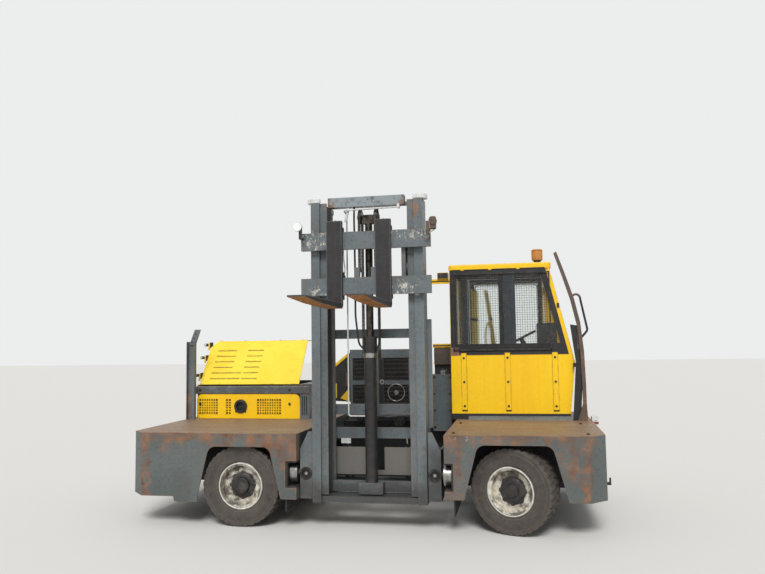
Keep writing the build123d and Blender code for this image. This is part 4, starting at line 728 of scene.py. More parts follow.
def tyre_shape(lugs):
    """Solid tyre with a smooth sidewall, a moulded groove and lugs that end on a square shoulder."""
    tyre = Shape()
    side = [
        (-97.5, 190.6), (-103.5, 213), (-110.5, 221), (-115, 230), (-117, 244), (-117.3, 316), (-115, 319),
        (-115, 325), (-117.2, 328), (-116.9, 351), (-112, 357), (-96, 358),
    ]
    profile = side + [(-y, radius) for y, radius in reversed(side)] + [side[0]]
    tyre.turned(profile, (0, 0, 0), Y_AXIS, "tyre rubber", sides=72, closed=False)
    block = [(-6, 350), (-6, 365.8), (-108, 365.8), (-114.6, 361), (-117, 352), (-117.3, 344), (-104, 343)]
    half, pitch = math.pi * 350 / lugs - 8, 2 * math.pi / lugs
    for mirror in (1, -1):
        lug = Shape()
        lug.skin([
            [(end * half + (-6 - y) * 0.12, y * mirror, radius - abs(end) * 2.4 * radius / TYRE_RADIUS)
             for y, radius in block]
            for end in (-1, 0, 1)
        ], "tyre rubber")
        tyre.repeat(lug, "tyre rubber", columns=lugs, turn=(0, pitch, 0), tilt=(0, pitch / 2 * (mirror < 0), 0))
    return tyre


def hub_shape(cap_length, cap_radius):
    """Black wheel hub with a lobed flange, a round cap, a bright bead on the rim and a valve."""
    hub = Shape()
    wide = cap_radius + 4
    end = -63 - cap_length
    profile = [(-40, 113), (-58, 113), (-63, 108), (-70, 90), (-71.5, 82), (-71.5, wide + 4),
               (-63 - cap_length * 0.85, wide), (end, wide - 7), (end, 26), (end - 2, 22), (end - 2, 0)]
    hub.turned(profile, (0, 0, 0), Y_AXIS, BLACK, sides=40)
    lobe = Shape()
    lobe.turned([(0, 23), (20, 22), (24, 17)], (0, -40, 104), (0, -1, 0), BLACK, sides=14)
    screw = bolt_head(9).moved(Matrix.Translation((0, -64, 104)))
    for unit, finish in ((lobe, BLACK), (screw, CHAIN)):
        hub.repeat(unit, finish, columns=8, turn=(0, math.pi / 4, 0))
    hub.ring((0, -115.4, 0), 203, 5, Y_AXIS, WHITE, sides=72)
    hub.tube([(0, -58, 160), (0, -78, 166), (0, -90, 174)], 5, RUBBER, bend=8)
    return hub


# Sizes and colours that can be changed in the sidebar

class SideLoaderSizes(bpy.types.PropertyGroup):
    """Sizes of the small parts."""
    lugs: bpy.props.IntProperty(name="Lugs", description="Lugs on each side of a tyre", default=36, min=12, max=60)
    wire_pitch: bpy.props.FloatProperty(
        name="Wire pitch", description="Distance between wires of the window guard, in millimetres",
        default=25.0, min=10)
    wire: bpy.props.FloatProperty(
        name="Wire", description="Diameter of the window guard's wire, in millimetres", default=3.0, min=1)
    hole_pitch: bpy.props.FloatProperty(
        name="Hole pitch", description="Distance between holes of the lower panel, in millimetres",
        default=27.5, min=15)
    chain_pitch: bpy.props.FloatProperty(
        name="Chain pitch", description="Distance between the lift chains' pins, in millimetres", default=25.4, min=10)
    bolt: bpy.props.FloatProperty(
        name="Bolt", description="Width of a panel bolt's head, in millimetres", default=16.0, min=6)


class SideLoaderLight(bpy.types.PropertyGroup):
    """Floor and light of the studio."""
    floor: bpy.props.FloatVectorProperty(
        name="Floor", description="Colour of the floor", default=linear("#dcdad6")[:3], subtype="COLOR",
        size=3, min=0, max=1)
    sun: bpy.props.FloatProperty(name="Sun", description="Strength of the soft lamp overhead", default=2.4, min=0)
    sky: bpy.props.FloatProperty(
        name="Sky", description="Strength of the even light from all round", default=0.6, min=0)


class DressFinishes(bpy.types.Operator):
    """Makes the finishes and puts them on the solids"""
    bl_idname = "side_loader.finishes"
    bl_label = "Finishes"

    def execute(self, context):
        FINISHES.update(make_finishes())
        finish_of = {name: finish for finish, names in NODE_FINISHES.items() for name in names.split()}
        bare = set(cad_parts) - set(finish_of)
        if bare:
            raise RuntimeError(f"no finish for {sorted(bare)}")
        for name, finish in finish_of.items():
            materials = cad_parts[name].data.materials
            materials.clear()
            materials.append(FINISHES[finish])
        return {"FINISHED"}


class DressWheels(bpy.types.Operator):
    """Makes the treaded tyres and the hubs with their screws"""
    bl_idname = "side_loader.wheels"
    bl_label = "Wheels"

    def execute(self, context):
        for corner in ("rear_near", "rear_far", "front_near", "front_far"):
            place = wheel_matrix(corner)
            body = "wheel_" + corner
            tyre = tyre_shape(context.scene.side_loader_sizes.lugs).moved(place)
            tyre.finish_piece("treaded_tyre_" + corner, body, ["tyre_" + corner])
            cap = (42, 66) if corner.startswith("rear") else (24, 50)
            hub_shape(*cap).moved(place).finish_piece("hub_" + corner, body)
        return {"FINISHED"}


class DressWindowGuard(bpy.types.Operator):
    """Makes the dark window frame with its divider and the wire guard outside it"""
    bl_idname = "side_loader.window_guard"
    bl_label = "Window guard"

    def execute(self, context):
        sizes = context.scene.side_loader_sizes
        face = limits("window_frame")[0].y
        guard = Shape()
        y0, flange, y1 = 1331, 1334.7, 1371
        left, bottom, top = 789.5, 1536, 2383
        opening = [(left, bottom), (cab_front(bottom) - 63, bottom), (cab_front(top) - 63, top), (left, top)]
        outer = [(left - 25, bottom - 25), (cab_front(1511) - 38, bottom - 25),
                 (cab_front(2407) - 38, top + 24), (left - 25, top + 24)]
        inner = [(831, 1627), (1890, 1627), (1708, 2348), (831, 2348)]
        steps = ((opening, y1), (opening, flange), (outer, flange), (outer, y0),
                 (inner, y0), (inner, y1), (opening, y1))
        guard.skin([upright(y, outline) for outline, y in steps], BLACK, closed=False)
        sill, head = 1622, 2353
        guard.boxes(
            ((1272, y0 - 2, sill), (1322, y1 - 8, head), BLACK, 5),
            ((1320, y0 + 4, sill), (1398, y1 - 14, head), SASH),
            ((1396, y0 + 1, sill), (1444, y1 - 8, head), SASH, 4),
            ((1290, y0 - 8, sill), (1302, y0 - 1, head), RUBBER, 2),
            ((766, y0 - 1.5, 1508), (848, y0 + 2, 1592), "rusty patch", 1),
        )
        start, end = left + 12, 1790
        near, pitch = face + 2.5, sizes.wire_pitch
        wire, cross = Shape(), Shape()
        wire.rod((0, near, bottom + 26), (0, near, top - 22), sizes.wire / 2, BLACK, sides=5)
        guard.repeat(wire, BLACK, columns=int((end - start) / pitch), step=(pitch, 0, 0), place=(start + 12, 0, 0))
        cross.rod((start, near + sizes.wire, 0), (end, near + sizes.wire, 0), sizes.wire / 2, BLACK, sides=5)
        rows = int((top - bottom - 60) / pitch)
        guard.repeat(cross, BLACK, rows=rows, row_step=(0, 0, pitch), place=(0, 0, bottom + 36))
        for x in (start - 10, end - 4):
            guard.box((x, face, bottom + 20), (x + 14, face + 6, top - 16), BLACK, 1.5)
        for z in (bottom + 20, top - 28):
            guard.box((start - 10, face, z), (end + 10, face + 6, z + 14), BLACK, 1.5)
        lug = Shape()
        lug.rod((0, face + 1, 0), (0, y0 + 1, 0), 9, BLACK, sides=10)
        guard.repeat(lug, BLACK, columns=4, rows=2, step=(300, 0, 0), row_step=(0, 0, top - bottom - 36),
                     place=(start + 20, 0, bottom + 27))
        guard.finish_piece("window_guard", "truck", ["window_frame"])
        return {"FINISHED"}


class DressCab(bpy.types.Operator):
    """Adds bolts, seals, seams, door trim, wiper and grab bars to the cab"""
    bl_idname = "side_loader.cab"
    bl_label = "Cab fittings"

    def execute(self, context):
        cab = Shape()
        head = bolt_head(context.scene.side_loader_sizes.bolt)
        for x in (896, 1348, 1828):
            cab.repeat(head, CHAIN, rows=3, row_step=(0, 0, 249), place=(x, 1328.5, 982))
            cab.box((x - 27, 1327, 931), (x + 27, 1335, 944), RUBBER, 2)
            for edge in (x - 28.5, x + 27):
                cab.box((edge, 1331, 931), (edge + 1.5, 1335.5, 1530), RUBBER)
        cab.box((1864, 1320, 1990), (1888, 1335.5, 2036), BLACK, 4)
        low, high = limits("cab_roof")
        cab.box((low.x + 30, low.y - 0.5, 2405), (high.x - 60, 1336, 2413), RUBBER, 1)
        for x in (900, 1190, 1480, 1770):
            cab.box((x - 18, 1322, 2400), (x + 18, 1336, 2411), CAB, 2)
        self.seal(cab, [(766, y, z) for y, z in ((1424, 1284), (2161, 1284), (2161, 2365), (1424, 2365))], 9)
        self.seal(cab, upright(2251, ((970, 1386), (1699, 1386), (1699, 2315), (970, 2315))), 9)
        corners = ((1432, 1488), (2155, 1488), (2155, 2352), (1432, 2352))
        self.seal(cab, [(cab_front(z) - 2, y, z) for y, z in corners], 10)
        pivot = Vector((cab_front(1475) + 4, 1790, 1468))
        tip = Vector((cab_front(1960) + 4, 1640, 1960))
        ahead, half = Vector(X_AXIS), (tip - pivot) * 0.42
        cab.rod(pivot - ahead * 14, pivot + ahead * 8, 14, BLACK, sides=12)
        cab.tube([pivot + ahead * 5, tip + ahead * 5], 5, BLACK)
        cab.tube([tip - half, tip + half], 6, RUBBER)
        for x0, x1, lean in ((938, 1009, 0), (1082, 1127, 86)):
            outline = upright(2196, ((x0 + lean, 1560), (x1 + lean, 1560), (x1, 2250), (x0, 2250)))
            cab.prism(outline, (0, 10, 0), HOOD)
            cab.box((x0 + lean * 0.55, 2190, 1895), (x1 + lean * 0.55, 2208, 1925), RUBBER, 3)
        bar = ((1092, 1560), (1088, 1760), (1122, 1888), (1150, 1800), (1158, 1560))
        cab.tube(upright(2186, bar), 11, HOOD, bend=40)
        cab.box((905, 2249, 1250), (975, 2254, 1470), BLACK, 2)
        cab.rod((940, 2250, 1290), (940, 2262, 1290), 13, STEEL, sides=16, chamfer=2)
        cab.finish_piece("cab_fittings", "truck")
        return {"FINISHED"}

    @staticmethod
    def seal(shape, ring, radius):
        """Rubber seal round an opening."""
        ring = [Vector(point) for point in ring]
        middle = (ring[0] + ring[1]) / 2
        shape.tube([middle, *ring[1:], ring[0], middle], radius, RUBBER, bend=60, sides=6)


# Lower edge of the hood's slope, and the direction in which the slope rises
HOOD_FOOT = Vector((0, 1352, 1216))
HOOD_SLOPE = Vector((0, 348, 484)).normalized()


class DressEngineEnd(bpy.types.Operator):
    """Makes the perforated panel and adds louvres, latches and bolts at the engine end"""
    bl_idname = "side_loader.engine_end"
    bl_label = "Engine end"

    def execute(self, context):
        self.perforated_panel(context.scene.side_loader_sizes.hole_pitch)
        low, high = limits("engine_hood")
        hood = Shape()
        lip = ((-6, -1), (-6, 1.2), (-3, 5), (3, 4.5), (12, 0.3), (12, -1))
        slit = ((-9, 0), (-9, 0.9), (-4, 3.6), (-4, 0))
        for width, start, rows, x in ((236, 233, 4, -1978), (190, 80, 6, -1608), (360, 80, 2, -1982)):
            spot = HOOD_SLOPE * start + Vector((x, 0, 0))
            for section, x0, x1, finish in ((lip, 0, width, HOOD), (slit, 3, width - 3, PLASTIC)):
                unit = self.along_hood(section, x0, x1, finish)
                hood.repeat(unit, finish, rows=rows, row_step=HOOD_SLOPE * 76.5, place=spot)
        for x in (low.x + 80, high.x - 90):
            hood.box((x, 1740, 1698), (x + 36, 1752, 1708), HOOD, 2)
        hood.finish_piece("hood_louvres", "hood")

        end = Shape()
        for z in (1655, 1508, 1310):
            y = (HOOD_FOOT + HOOD_SLOPE * ((z - HOOD_FOOT.z) / HOOD_SLOPE.z)).y + 14
            end.box((-2098, y - 30, z - 34), (-2079, y + 30, z + 34), RUBBER, 4)
            end.rod((-2100, y, z), (-2146, y, z), 11, CHAIN, sides=14)
            end.rod((-2150, y - 32, z + 5), (-2150, y + 32, z + 5), 17, RUBBER, sides=16, chamfer=4)
            # A small white disc on the grip's near end is a painted highlight.
            end.rod((-2149, y - 37, z + 6), (-2149, y - 30, z + 6), 11, WHITE, sides=14, chamfer=2)
            strap = ((-2128, z - 52), (-2108, z - 58), (-2090, z + 24), (-2112, z + 30))
            end.prism(upright(y - 20, strap), (0, 12, 0), HOOD)
        post_low, post_high = limits("rear_post")
        for at in range(3):
            x, y, z = post_low.x + 52 + at * 22, post_high.y, 1690 + at * 46
            end.rod((x, y - 21.5, z), (x, y - 19, z), 8, RUBBER, sides=12)
        slat = Shape()
        slat.box((0, 1282, 890), (9, 1291, 1090), RUBBER, 2)
        end.repeat(slat, RUBBER, columns=3, step=(24, 0, 0), place=(-862, 0, 0))
        end.repeat(bolt_head(18), CHAIN, columns=2, rows=2, step=(1040, 0, 0), row_step=(0, 0, -150),
                   place=(-2040, 1279, 1157))
        end.finish_piece("engine_end_fittings", "truck")
        return {"FINISHED"}

    @staticmethod
    def along_hood(section, x0, x1, finish):
        """Strip along X; its section is given up the hood's slope and out of it."""
        strip = Shape()
        out = Vector((0, -HOOD_SLOPE.z, HOOD_SLOPE.y))
        points = [HOOD_FOOT + HOOD_SLOPE * rise + out * off for rise, off in section]
        strip.skin([[(x, point.y, point.z) for point in points] for x in (x0, x1)], finish)
        return strip

    @staticmethod
    def perforated_panel(pitch):
        """Lower panel with rounded upper corners, three fields of square holes and the outlet's opening."""
        low, high = limits("grille_panel")
        outlet = sum(limits("exhaust_outlet"), Vector()) / 2
        # Start of each field of holes and its number of columns
        fields = ((low.x + 24, 8), (outlet.x - 174, 2), (outlet.x + 188, 10))
        rows, bottom, corner = 6, 893, 60
        top = bottom + rows * pitch
        outline = [(low.x, low.z), (high.x, low.z)]
        outline += arc(high.x - corner, high.z - corner, corner, 0, 90)
        outline += arc(low.x + corner, high.z - corner, corner, 90, 180)
        panel, cutter = Shape(), Shape()
        panel.prism(upright(low.y, outline), (0, high.y - low.y, 0), CAB)
        cutter.rod((outlet.x, low.y - 5, outlet.z), (outlet.x, high.y + 5, outlet.z), 60, CAB, sides=40)
        for x, columns in fields:
            cutter.box((x, low.y - 5, bottom), (x + columns * pitch, high.y + 5, top), CAB)
        blank, tool = (linked("blank", shape.welded("blank")) for shape in (panel, cutter))
        cut = blank.modifiers.new("holes", "BOOLEAN")
        cut.object, cut.operation, cut.solver = tool, "DIFFERENCE", "EXACT"
        made = Shape()
        made.take(worked_out(blank), CAB)
        for holder in (blank, tool):
            bpy.data.objects.remove(holder)
        half = pitch * 0.22
        for x, columns in fields:
            post, rung = Shape(), Shape()
            post.box((-half, low.y + 0.6, bottom - 2), (half, high.y - 0.6, top + 2), CAB)
            made.repeat(post, CAB, columns=columns - 1, step=(pitch, 0, 0), place=(x + pitch, 0, 0))
            rung.box((x - 2, low.y + 1, -half), (x + columns * pitch + 2, high.y - 1, half), CAB)
            made.repeat(rung, CAB, rows=rows - 1, row_step=(0, 0, pitch), place=(0, 0, bottom + pitch))
        made.box((low.x + 30, high.y + 6, low.z + 10), (high.x - 30, high.y + 9, high.z - 30), PLASTIC)
        made.ring((outlet.x, low.y - 3, outlet.z), 70, 5, Y_AXIS, BLACK, sides=40)
        slat = Shape()
        slat.box((outlet.x - 57, low.y - 7, -3), (outlet.x + 57, low.y - 3, 3), BLACK, 1)
        made.repeat(slat, BLACK, rows=7, row_step=(0, 0, 15), place=(0, 0, outlet.z - 45))
        made.box((outlet.x - 62, low.y - 8, outlet.z - 66), (outlet.x + 62, low.y + 1, outlet.z - 54), CHAIN, 2)
        for x in (outlet.x - 58, outlet.x + 58):
            made.box((x - 5, low.y - 10, outlet.z - 66), (x + 5, low.y + 1, outlet.z - 34), CHAIN, 2)
        made.finish_piece("perforated_panel", "truck", ["grille_panel"])


class DressMast(bpy.types.Operator):
    """Makes the lift chains' links and adds bolts, hoses, scrapers and roller caps to the mast"""
    bl_idname = "side_loader.mast"
    bl_label = "Mast fittings"

    def execute(self, context):
        self.lift_chains(context.scene.side_loader_sizes.chain_pitch)
        mast = Shape()
        head = bolt_head(24, TO_FAR)
        edge = [(432.5, 73), *arc(509.5, 123.5, 50.5, -90, 0), *arc(509.5, 140.5, 50.5, 0, 90),
                (499.6, 191), (499.6, 91.6), (432.5, 91.6)]
        for side in (-1, 1):
            mast.prism([(MAST_X + side * x, y, 2949) for x, y in edge], (0, 0, 36), WHITE)
            for z in (815, 1032, 1736, 2630):
                mast.repeat(head, CHAIN, columns=2, step=(-side * 30, 0, 0), place=(MAST_X + side * 500, 400, z))
        mast.box((-198, 386, 714), (-104, 399, 790), WHITE, 3)
        mast.finish_piece("mast_caps", "mast")

        beam = Shape()
        for x in (MAST_X - 25, MAST_X + 60):
            beam.rod((x, 148, 2955), (x, 144, 2955), 9, STEEL, sides=10)
            beam.rod((x, 160, 2905), (x, 160, 2914), 9, STEEL, sides=10)
        collar = [(0, 59), (0, 61.4), (44, 61.4), (44, 59), (0, 59)]
        beam.turned(collar, (MAST_X, 200, 1515.5), Z_AXIS, STEEL, 40, closed=False)
        for points, radius, finish, bend in (
            ([(-130, 178, 2914), (-132, 172, 2820), (-126, 168, 2300), (-128, 170, 1900), (-100, 178, 1640),
              (-62, 190, 1600)], 9, RUBBER, 40),
            ([(96, 150, 2880), (100, 150, 2500), (100, 158, 1660), (66, 176, 1585)], 9, RUBBER, 40),
            ([(-180, 146, 2896), (-184, 140, 2860), (-206, 136, 2770)], 13, WHITE, 20),
        ):
            beam.tube([(MAST_X + x, y, z) for x, y, z in points], radius, finish, bend=bend)
        beam.finish_piece("mast_hoses", "upper_mast")

        top = Shape()
        for side in (-1, 1):
            x = MAST_X + side * SHEAVE_APART
            for start, end, *rest in ((-18, 18.5, 30, CHAIN, 16, 3), (22, 31, 20, STEEL, 6)):
                top.rod((x + side * start, SHEAVE_Y, SHEAVE_Z), (x + side * end, SHEAVE_Y, SHEAVE_Z), *rest)
        top.finish_piece("sheave_pins", "crosshead")

        reach = Shape()
        scraper = [(-2, 43.5), (16.2, 43.5), (16.2, 58), (18.6, 56), (18.6, 42), (10, 34), (2, 28), (2, 0)]
        for side in (-1, 1):
            x, hole = MAST_X + side * 730, MAST_X + side * 584
            for y in (160, 520):
                reach.turned([(0, 46), (3, 44), (5, 30)], (x - side * 2, y, 484), (side, 0, 0), RUBBER, 24)
            reach.turned(scraper, (hole, 108, 484), (0, -1, 0), RUBBER, 32)
            reach.rod((hole, 107, 484), (hole, 95, 484), 15, STEEL, sides=6)
        reach.finish_piece("reach_fittings", "reach")
        return {"FINISHED"}

    @staticmethod
    def lift_chains(pitch):
        """Leaf chains: side plates laced on pins, up over the sheaves and down behind them."""
        chains = Shape()
        radius = CHAIN_RADIUS

        def link(offset):
            """Plates and pin of one pitch, with the run's middle at the offset and the run along Z."""
            plates = Shape()
            half = pitch / 2
            waist = ((3, -0.95), (4.6, -0.45), (3.4, 0), (4.6, 0.45), (3, 0.95))
            plate = [(-3, -0.95), *waist, *[(-y, z) for y, z in waist[:0:-1]]]
            for at, x in enumerate((-13, -8.5, -4, 0.5, 5, 9.5)):
                shift = 0 if at % 2 else half
                plates.prism([(x, y, z * half + shift) for y, z in plate], (3.4, 0, 0), CHAIN)
            plates.rod((-14.5, 0, half * 0.5), (14.5, 0, half * 0.5), 2.6, CHAIN, sides=6)
            return plates.moved(Matrix.Translation(offset))

        step = pitch / radius
        for side in (-1, 1):
            x = MAST_X + side * SHEAVE_APART
            for y, foot in ((SHEAVE_Y - radius, 2322), (SHEAVE_Y + radius, 1502)):
                chains.repeat(link((x, y, 0)), CHAIN, rows=int((SHEAVE_Z - foot) / pitch), row_step=(0, 0, pitch),
                              place=(0, 0, foot + pitch / 2))
            chains.repeat(link((0, -radius, 0)), CHAIN, columns=int(math.pi / step) + 1, turn=(-step, 0, 0),
                          place=(x, SHEAVE_Y, SHEAVE_Z))
        chains.finish_piece("lift_chain_links", "crosshead", ["lift_chains"])


class DressCarriage(bpy.types.Operator):
    """Adds fork latches, bar notches, a hose and bolts to the carriage"""
    bl_idname = "side_loader.carriage"
    bl_label = "Carriage fittings"

    def execute(self, context):
        carriage = Shape()
        for x in (-140, 307):
            carriage.box((x - 14, 8, 2700), (x + 14, 40, 2744), CHAIN, 4)
            carriage.rod((x, 20, 2740), (x, 20, 2768), 8, STEEL, sides=10, chamfer=2)
        notch = Shape()
        notch.box((0, 11, 2650), (7, 40, 2657.5), PLASTIC)
        carriage.repeat(notch, PLASTIC, columns=9, step=(110, 0, 0), place=(-330, 0, 0))
        for side in (-1, 1):
            x = MAST_X + side * SHEAVE_APART
            carriage.rod((x, 112, 2284), (x, 112, 2344), 9, STEEL, sides=10, chamfer=2)
            carriage.box((x - 12, 100, 2280), (x + 12, 124, 2292), CHAIN, 3)
        hose = MAST_X - 206
        run = [(hose, 44, 2500), (hose - 6, 66, 2440), (hose + 8, 70, 2330), (hose - 2, 44, 2236)]
        carriage.tube(run, 8, WHITE, bend=30)
        carriage.box((hose - 18, 20, 2234), (hose + 18, 56, 2266), BLACK, 5)
        carriage.rod((hose, 46, 2262), (hose, 52, 2290), 12, BLACK, sides=6)
        carriage.finish_piece("carriage_fittings", "carriage")
        return {"FINISHED"}


class DressLamps(bpy.types.Operator):
    """Makes the two lamps on the carriage, the ribbed beacon and the rear and front lamps' panes and edges"""
    bl_idname = "side_loader.lamps"
    bl_label = "Lamps"

    def execute(self, context):
        face = limits("work_lamps")[0].y
        lamps = Shape()
        left, right = Vector((MAST_X - 598, face, 2705)), Vector((MAST_X + 632, face, 2705))
        off = Vector((0, -0.5, 0))
        bowl = [(62, 10), (60, 24), (40, 36), (14, 42), (6, 43.5), (0, 42), (0, 0)]
        lamps.turned(bowl, left, Y_AXIS, BLACK, 28)
        lamps.turned([(-0.5, 41), (2, 41), (2, 0)], left + off, Y_AXIS, "lamp glass", 28)
        lamps.ring(left + Vector((0, 4, 0)), 40.5, 3.2, Y_AXIS, WHITE, 28)
        lamps.boxes(
            ((-464, -58, 2597), (-434, -46, 2713), BLACK, 2),
            ((-464, -46, 2597), (-434, 12, 2611), BLACK, 2),
            ((-448, -60, 2640), (-436, -57, 2700), MAST, 1),
        )
        lamps.turned([(62, 12), (58, 24), (24, 34), (4, 35.5), (0, 33), (0, 0)], right, Y_AXIS, GUARD, 24)
        lamps.turned([(-0.5, 31), (2, 31), (2, 0)], right + off, Y_AXIS, GUARD, 24)
        lamps.boxes(
            ((right.x - 30, -88, 2632), (right.x + 26, -46, 2746), GUARD, 8),
            ((698, -58, 2597), (728, -46, 2713), GUARD, 2),
            ((698, -46, 2597), (728, 12, 2611), MAST, 2),
        )
        around = [right + Vector((x, 40, z)) for x, z in ((-38, 34), (0, 46), (34, 10), (8, -80))]
        lamps.tube([(712, -52, 2640), *around, (712, -52, 2604)], 4, WHITE, bend=20)
        lamps.finish_piece("carriage_lamps", "carriage", ["work_lamps"])

        low, high = limits("beacon")
        foot = Vector(((low.x + high.x) / 2, (low.y + high.y) / 2, low.z))
        beacon = Shape()
        for profile, finish in (
            ([(0, 44), (10, 46), (26, 46), (30, 40), (52, 38), (55, 50), (60, 52)], BLACK),
            ([(58, 50), (62, 54), (150, 56), (168, 52)], "amber lens"),
            ([(164, 58), (170, 60), (176, 57), (181, 40), (182, 0)], "amber lens"),
        ):
            beacon.turned(profile, foot, Z_AXIS, finish, 32)
        rib = Shape()
        rib.box((-2.2, 54, 66), (2.2, 59.5, 164), "amber lens", 1)
        beacon.repeat(rib, "amber lens", columns=20, turn=(0, 0, math.pi / 10), place=foot)
        beacon.finish_piece("ribbed_beacon", "truck", ["beacon"])

        low, high = limits("rear_lamp")
        rear = Shape()
        rear.boxes(
            ((low.x + 1, low.y + 19, 2320), (high.x - 4, low.y + 20.5, 2334), RUBBER),
            ((low.x + 92, low.y - 1.5, 2362), (low.x + 194, low.y + 1, 2415), PLASTIC, 1),
            ((low.x + 83, low.y - 1, 2352), (low.x + 203, high.y + 1, 2425), BLACK, 6),
        )
        for x in (low.x + 96, low.x + 190):
            rear.rod((x, low.y + 40, 2340), (x, low.y + 40, 2356), 9, STEEL, sides=6)
        rear.finish_piece("rear_lamp_shell", "truck")

        low, high = limits("end_fittings")
        front = Shape()
        front.box((low.x - 1, 1289, 832), (high.x + 0.5, 1401, 881), WHITE, 1)
        front.box((low.x - 1, 1289, 805), (high.x + 0.5, 1401, 832), "red lens", 1)
        front.rod((high.x - 30, 1288, 843), (high.x - 30, 1291, 843), 7, STEEL, sides=6)
        front.finish_piece("front_lamp_lens", "truck")
        return {"FINISHED"}


class DressBehindMast(bpy.types.Operator):
    """Adds grilles, round covers, a pipe, yellow strips, a filler cap and bolts behind the mast"""
    bl_idname = "side_loader.behind_mast"
    bl_label = "Behind the mast"

    def execute(self, context):
        back = Shape()
        self.cooler(back)
        low, high = limits("hydraulic_tank")
        spot = Vector((high.x - 90, low.y + 80, 1299))
        back.turned([(0, 50), (10, 50), (12, 44), (40, 43), (47, 36), (47, 0)], spot, Z_AXIS, STEEL, 24)
        grip = Shape()
        grip.box((-3, 42, 14), (3, 47, 40), STEEL, 1)
        back.repeat(grip, STEEL, columns=14, turn=(0, 0, math.pi / 7), place=spot)
        # Stacked housing on the tank: how far it stands in, its y and z limits, its finish and chamfer
        for inset, y0, y1, z0, z1, finish, chamfer in (
            (14, 1720, 1960, 1399, 1592, GUARD, 8), (4, 1712, 1970, 1592, 1604, CAB, 3),
            (4, 1712, 1970, 1604, 1620, GUARD, 3), (4, 1712, 1970, 1620, 1634, CAB, 3),
            (14, 1760, 1900, 1298, 1400, BLACK, 4),
        ):
            back.box((low.x + inset, y0, z0), (low.x + 218 - inset, y1, z1), finish, chamfer)
        back.repeat(bolt_head(16), CHAIN, columns=2, rows=4, step=(170, 0, 0), row_step=(0, 0, 180),
                    place=(low.x + 24, low.y, 730))
        back.finish_piece("behind_mast_fittings", "truck")
        return {"FINISHED"}

    @staticmethod
    def cooler(back):
        """Wire grilles in their frames on the cooler, with what stands beside and under it."""
        low, high = limits("cooler")
        near = low.y
        mesh = 13
        for z0, z1 in ((1250, 1480), (996, 1183)):
            for x0, x1 in ((-362, -240), (-16, 253)):
                bar, rung = Shape(), Shape()
                bar.box((0, near + 2, z0 - 1), (4, near + 6, z1 + 1), BLACK)
                back.repeat(bar, BLACK, columns=int((x1 - x0) / mesh), step=(mesh, 0, 0), place=(x0 + 5, 0, 0))
                rung.box((x0 - 1, near + 3, 0), (x1 + 1, near + 7, 4), BLACK)
                back.repeat(rung, BLACK, rows=int((z1 - z0) / mesh), row_step=(0, 0, mesh), place=(0, 0, z0 + 5))
                back.box((x0 - 1, near + 40, z0 - 1), (x1 + 1, near + 44, z1 + 1), RUBBER)
                for z in (z0 - 9, z1):
                    back.box((x0 - 9, near - 4, z), (x1 + 9, near + 2, z + 9), BLACK, 2)
                for x in (x0 - 9, x1):
                    back.box((x, near - 4, z0), (x + 9, near + 2, z1), BLACK, 2)
        back.boxes(
            ((low.x - 2, near - 5, 1486), (high.x + 2, near + 2, high.z + 2), MAST, 3),
            ((-74, near - 6, 984), (-6, near + 1, 1479), BLACK, 4),
            ((-232, near - 5, 1196), (-20, near + 1, 1240), MAST, 3),
        )

        def round_face(x, z, start, end, *rest):
            """Round bar that looks to the near side, from start to end behind the cooler's face."""
            back.rod((x, near + start, z), (x, near + end, z), *rest)

        round_face(-36, 1222, -7.5, 1, 30, STEEL, 28, 3)
        round_face(-36, 1222, -7.9, -6, 12, RUBBER, 20)
        back.ring((122, near - 1, 1104), 93, 6, Y_AXIS, STEEL, 44)
        round_face(122, 1104, -4, 1, 26, STEEL, 24, 2)
        round_face(150, 790, -7, 22, 64, RUBBER, 32, 5)
        round_face(150, 790, -7.9, -5, 26, CHAIN, 24)
        pipe = [(-10, near + 8, 836), (160, near + 6, 850), (320, near + 6, 864), (520, near + 12, 864)]
        back.tube(pipe, 13, MAST, bend=60)
        # The black plate beside the cooler is painted shade between the yellow strips.
        for y, push, finish, outline in (
            (30, 6, BLACK, ((-600, 1010), (-399, 1000), (-399, 1546), (-430, 1540), (-600, 1400))),
            (22, 9, CAB, ((-596, 1376), (-427, 1515), (-449, 1530), (-596, 1412))),
            (22, 9, CAB, ((-521, 1040), (-424, 1004), (-424, 1150))),
        ):
            back.prism(upright(near + y, outline), (0, push, 0), finish)
        back.box((-590, near + 20, 1045), (-562, near + 31, 1204), HOOD, 3)
        back.turned([(0, 34), (4, 40), (150, 40), (156, 34)], (-432, near + 52, 1170), Z_AXIS, GUARD, 24)


# Seat pads, as shares of their half size: the channels' lines, width and depth, and the plain border outside them
CHANNELS, CHANNEL_WIDTH, CHANNEL_DEPTH, BORDER = (-0.45, 0, 0.45), 0.07, 0.17, 0.9
# The seam that runs round a pad: its line, half its width and its depth, again as shares
SEAM, SEAM_WIDTH, SEAM_DEPTH = 0.5, 0.14, 0.014
# In metres: the net's spacing, how much smaller a pad starts, and the furthest that air moves a point of it
NET, SLACK, SWELL = 0.006, 0.007, 0.012


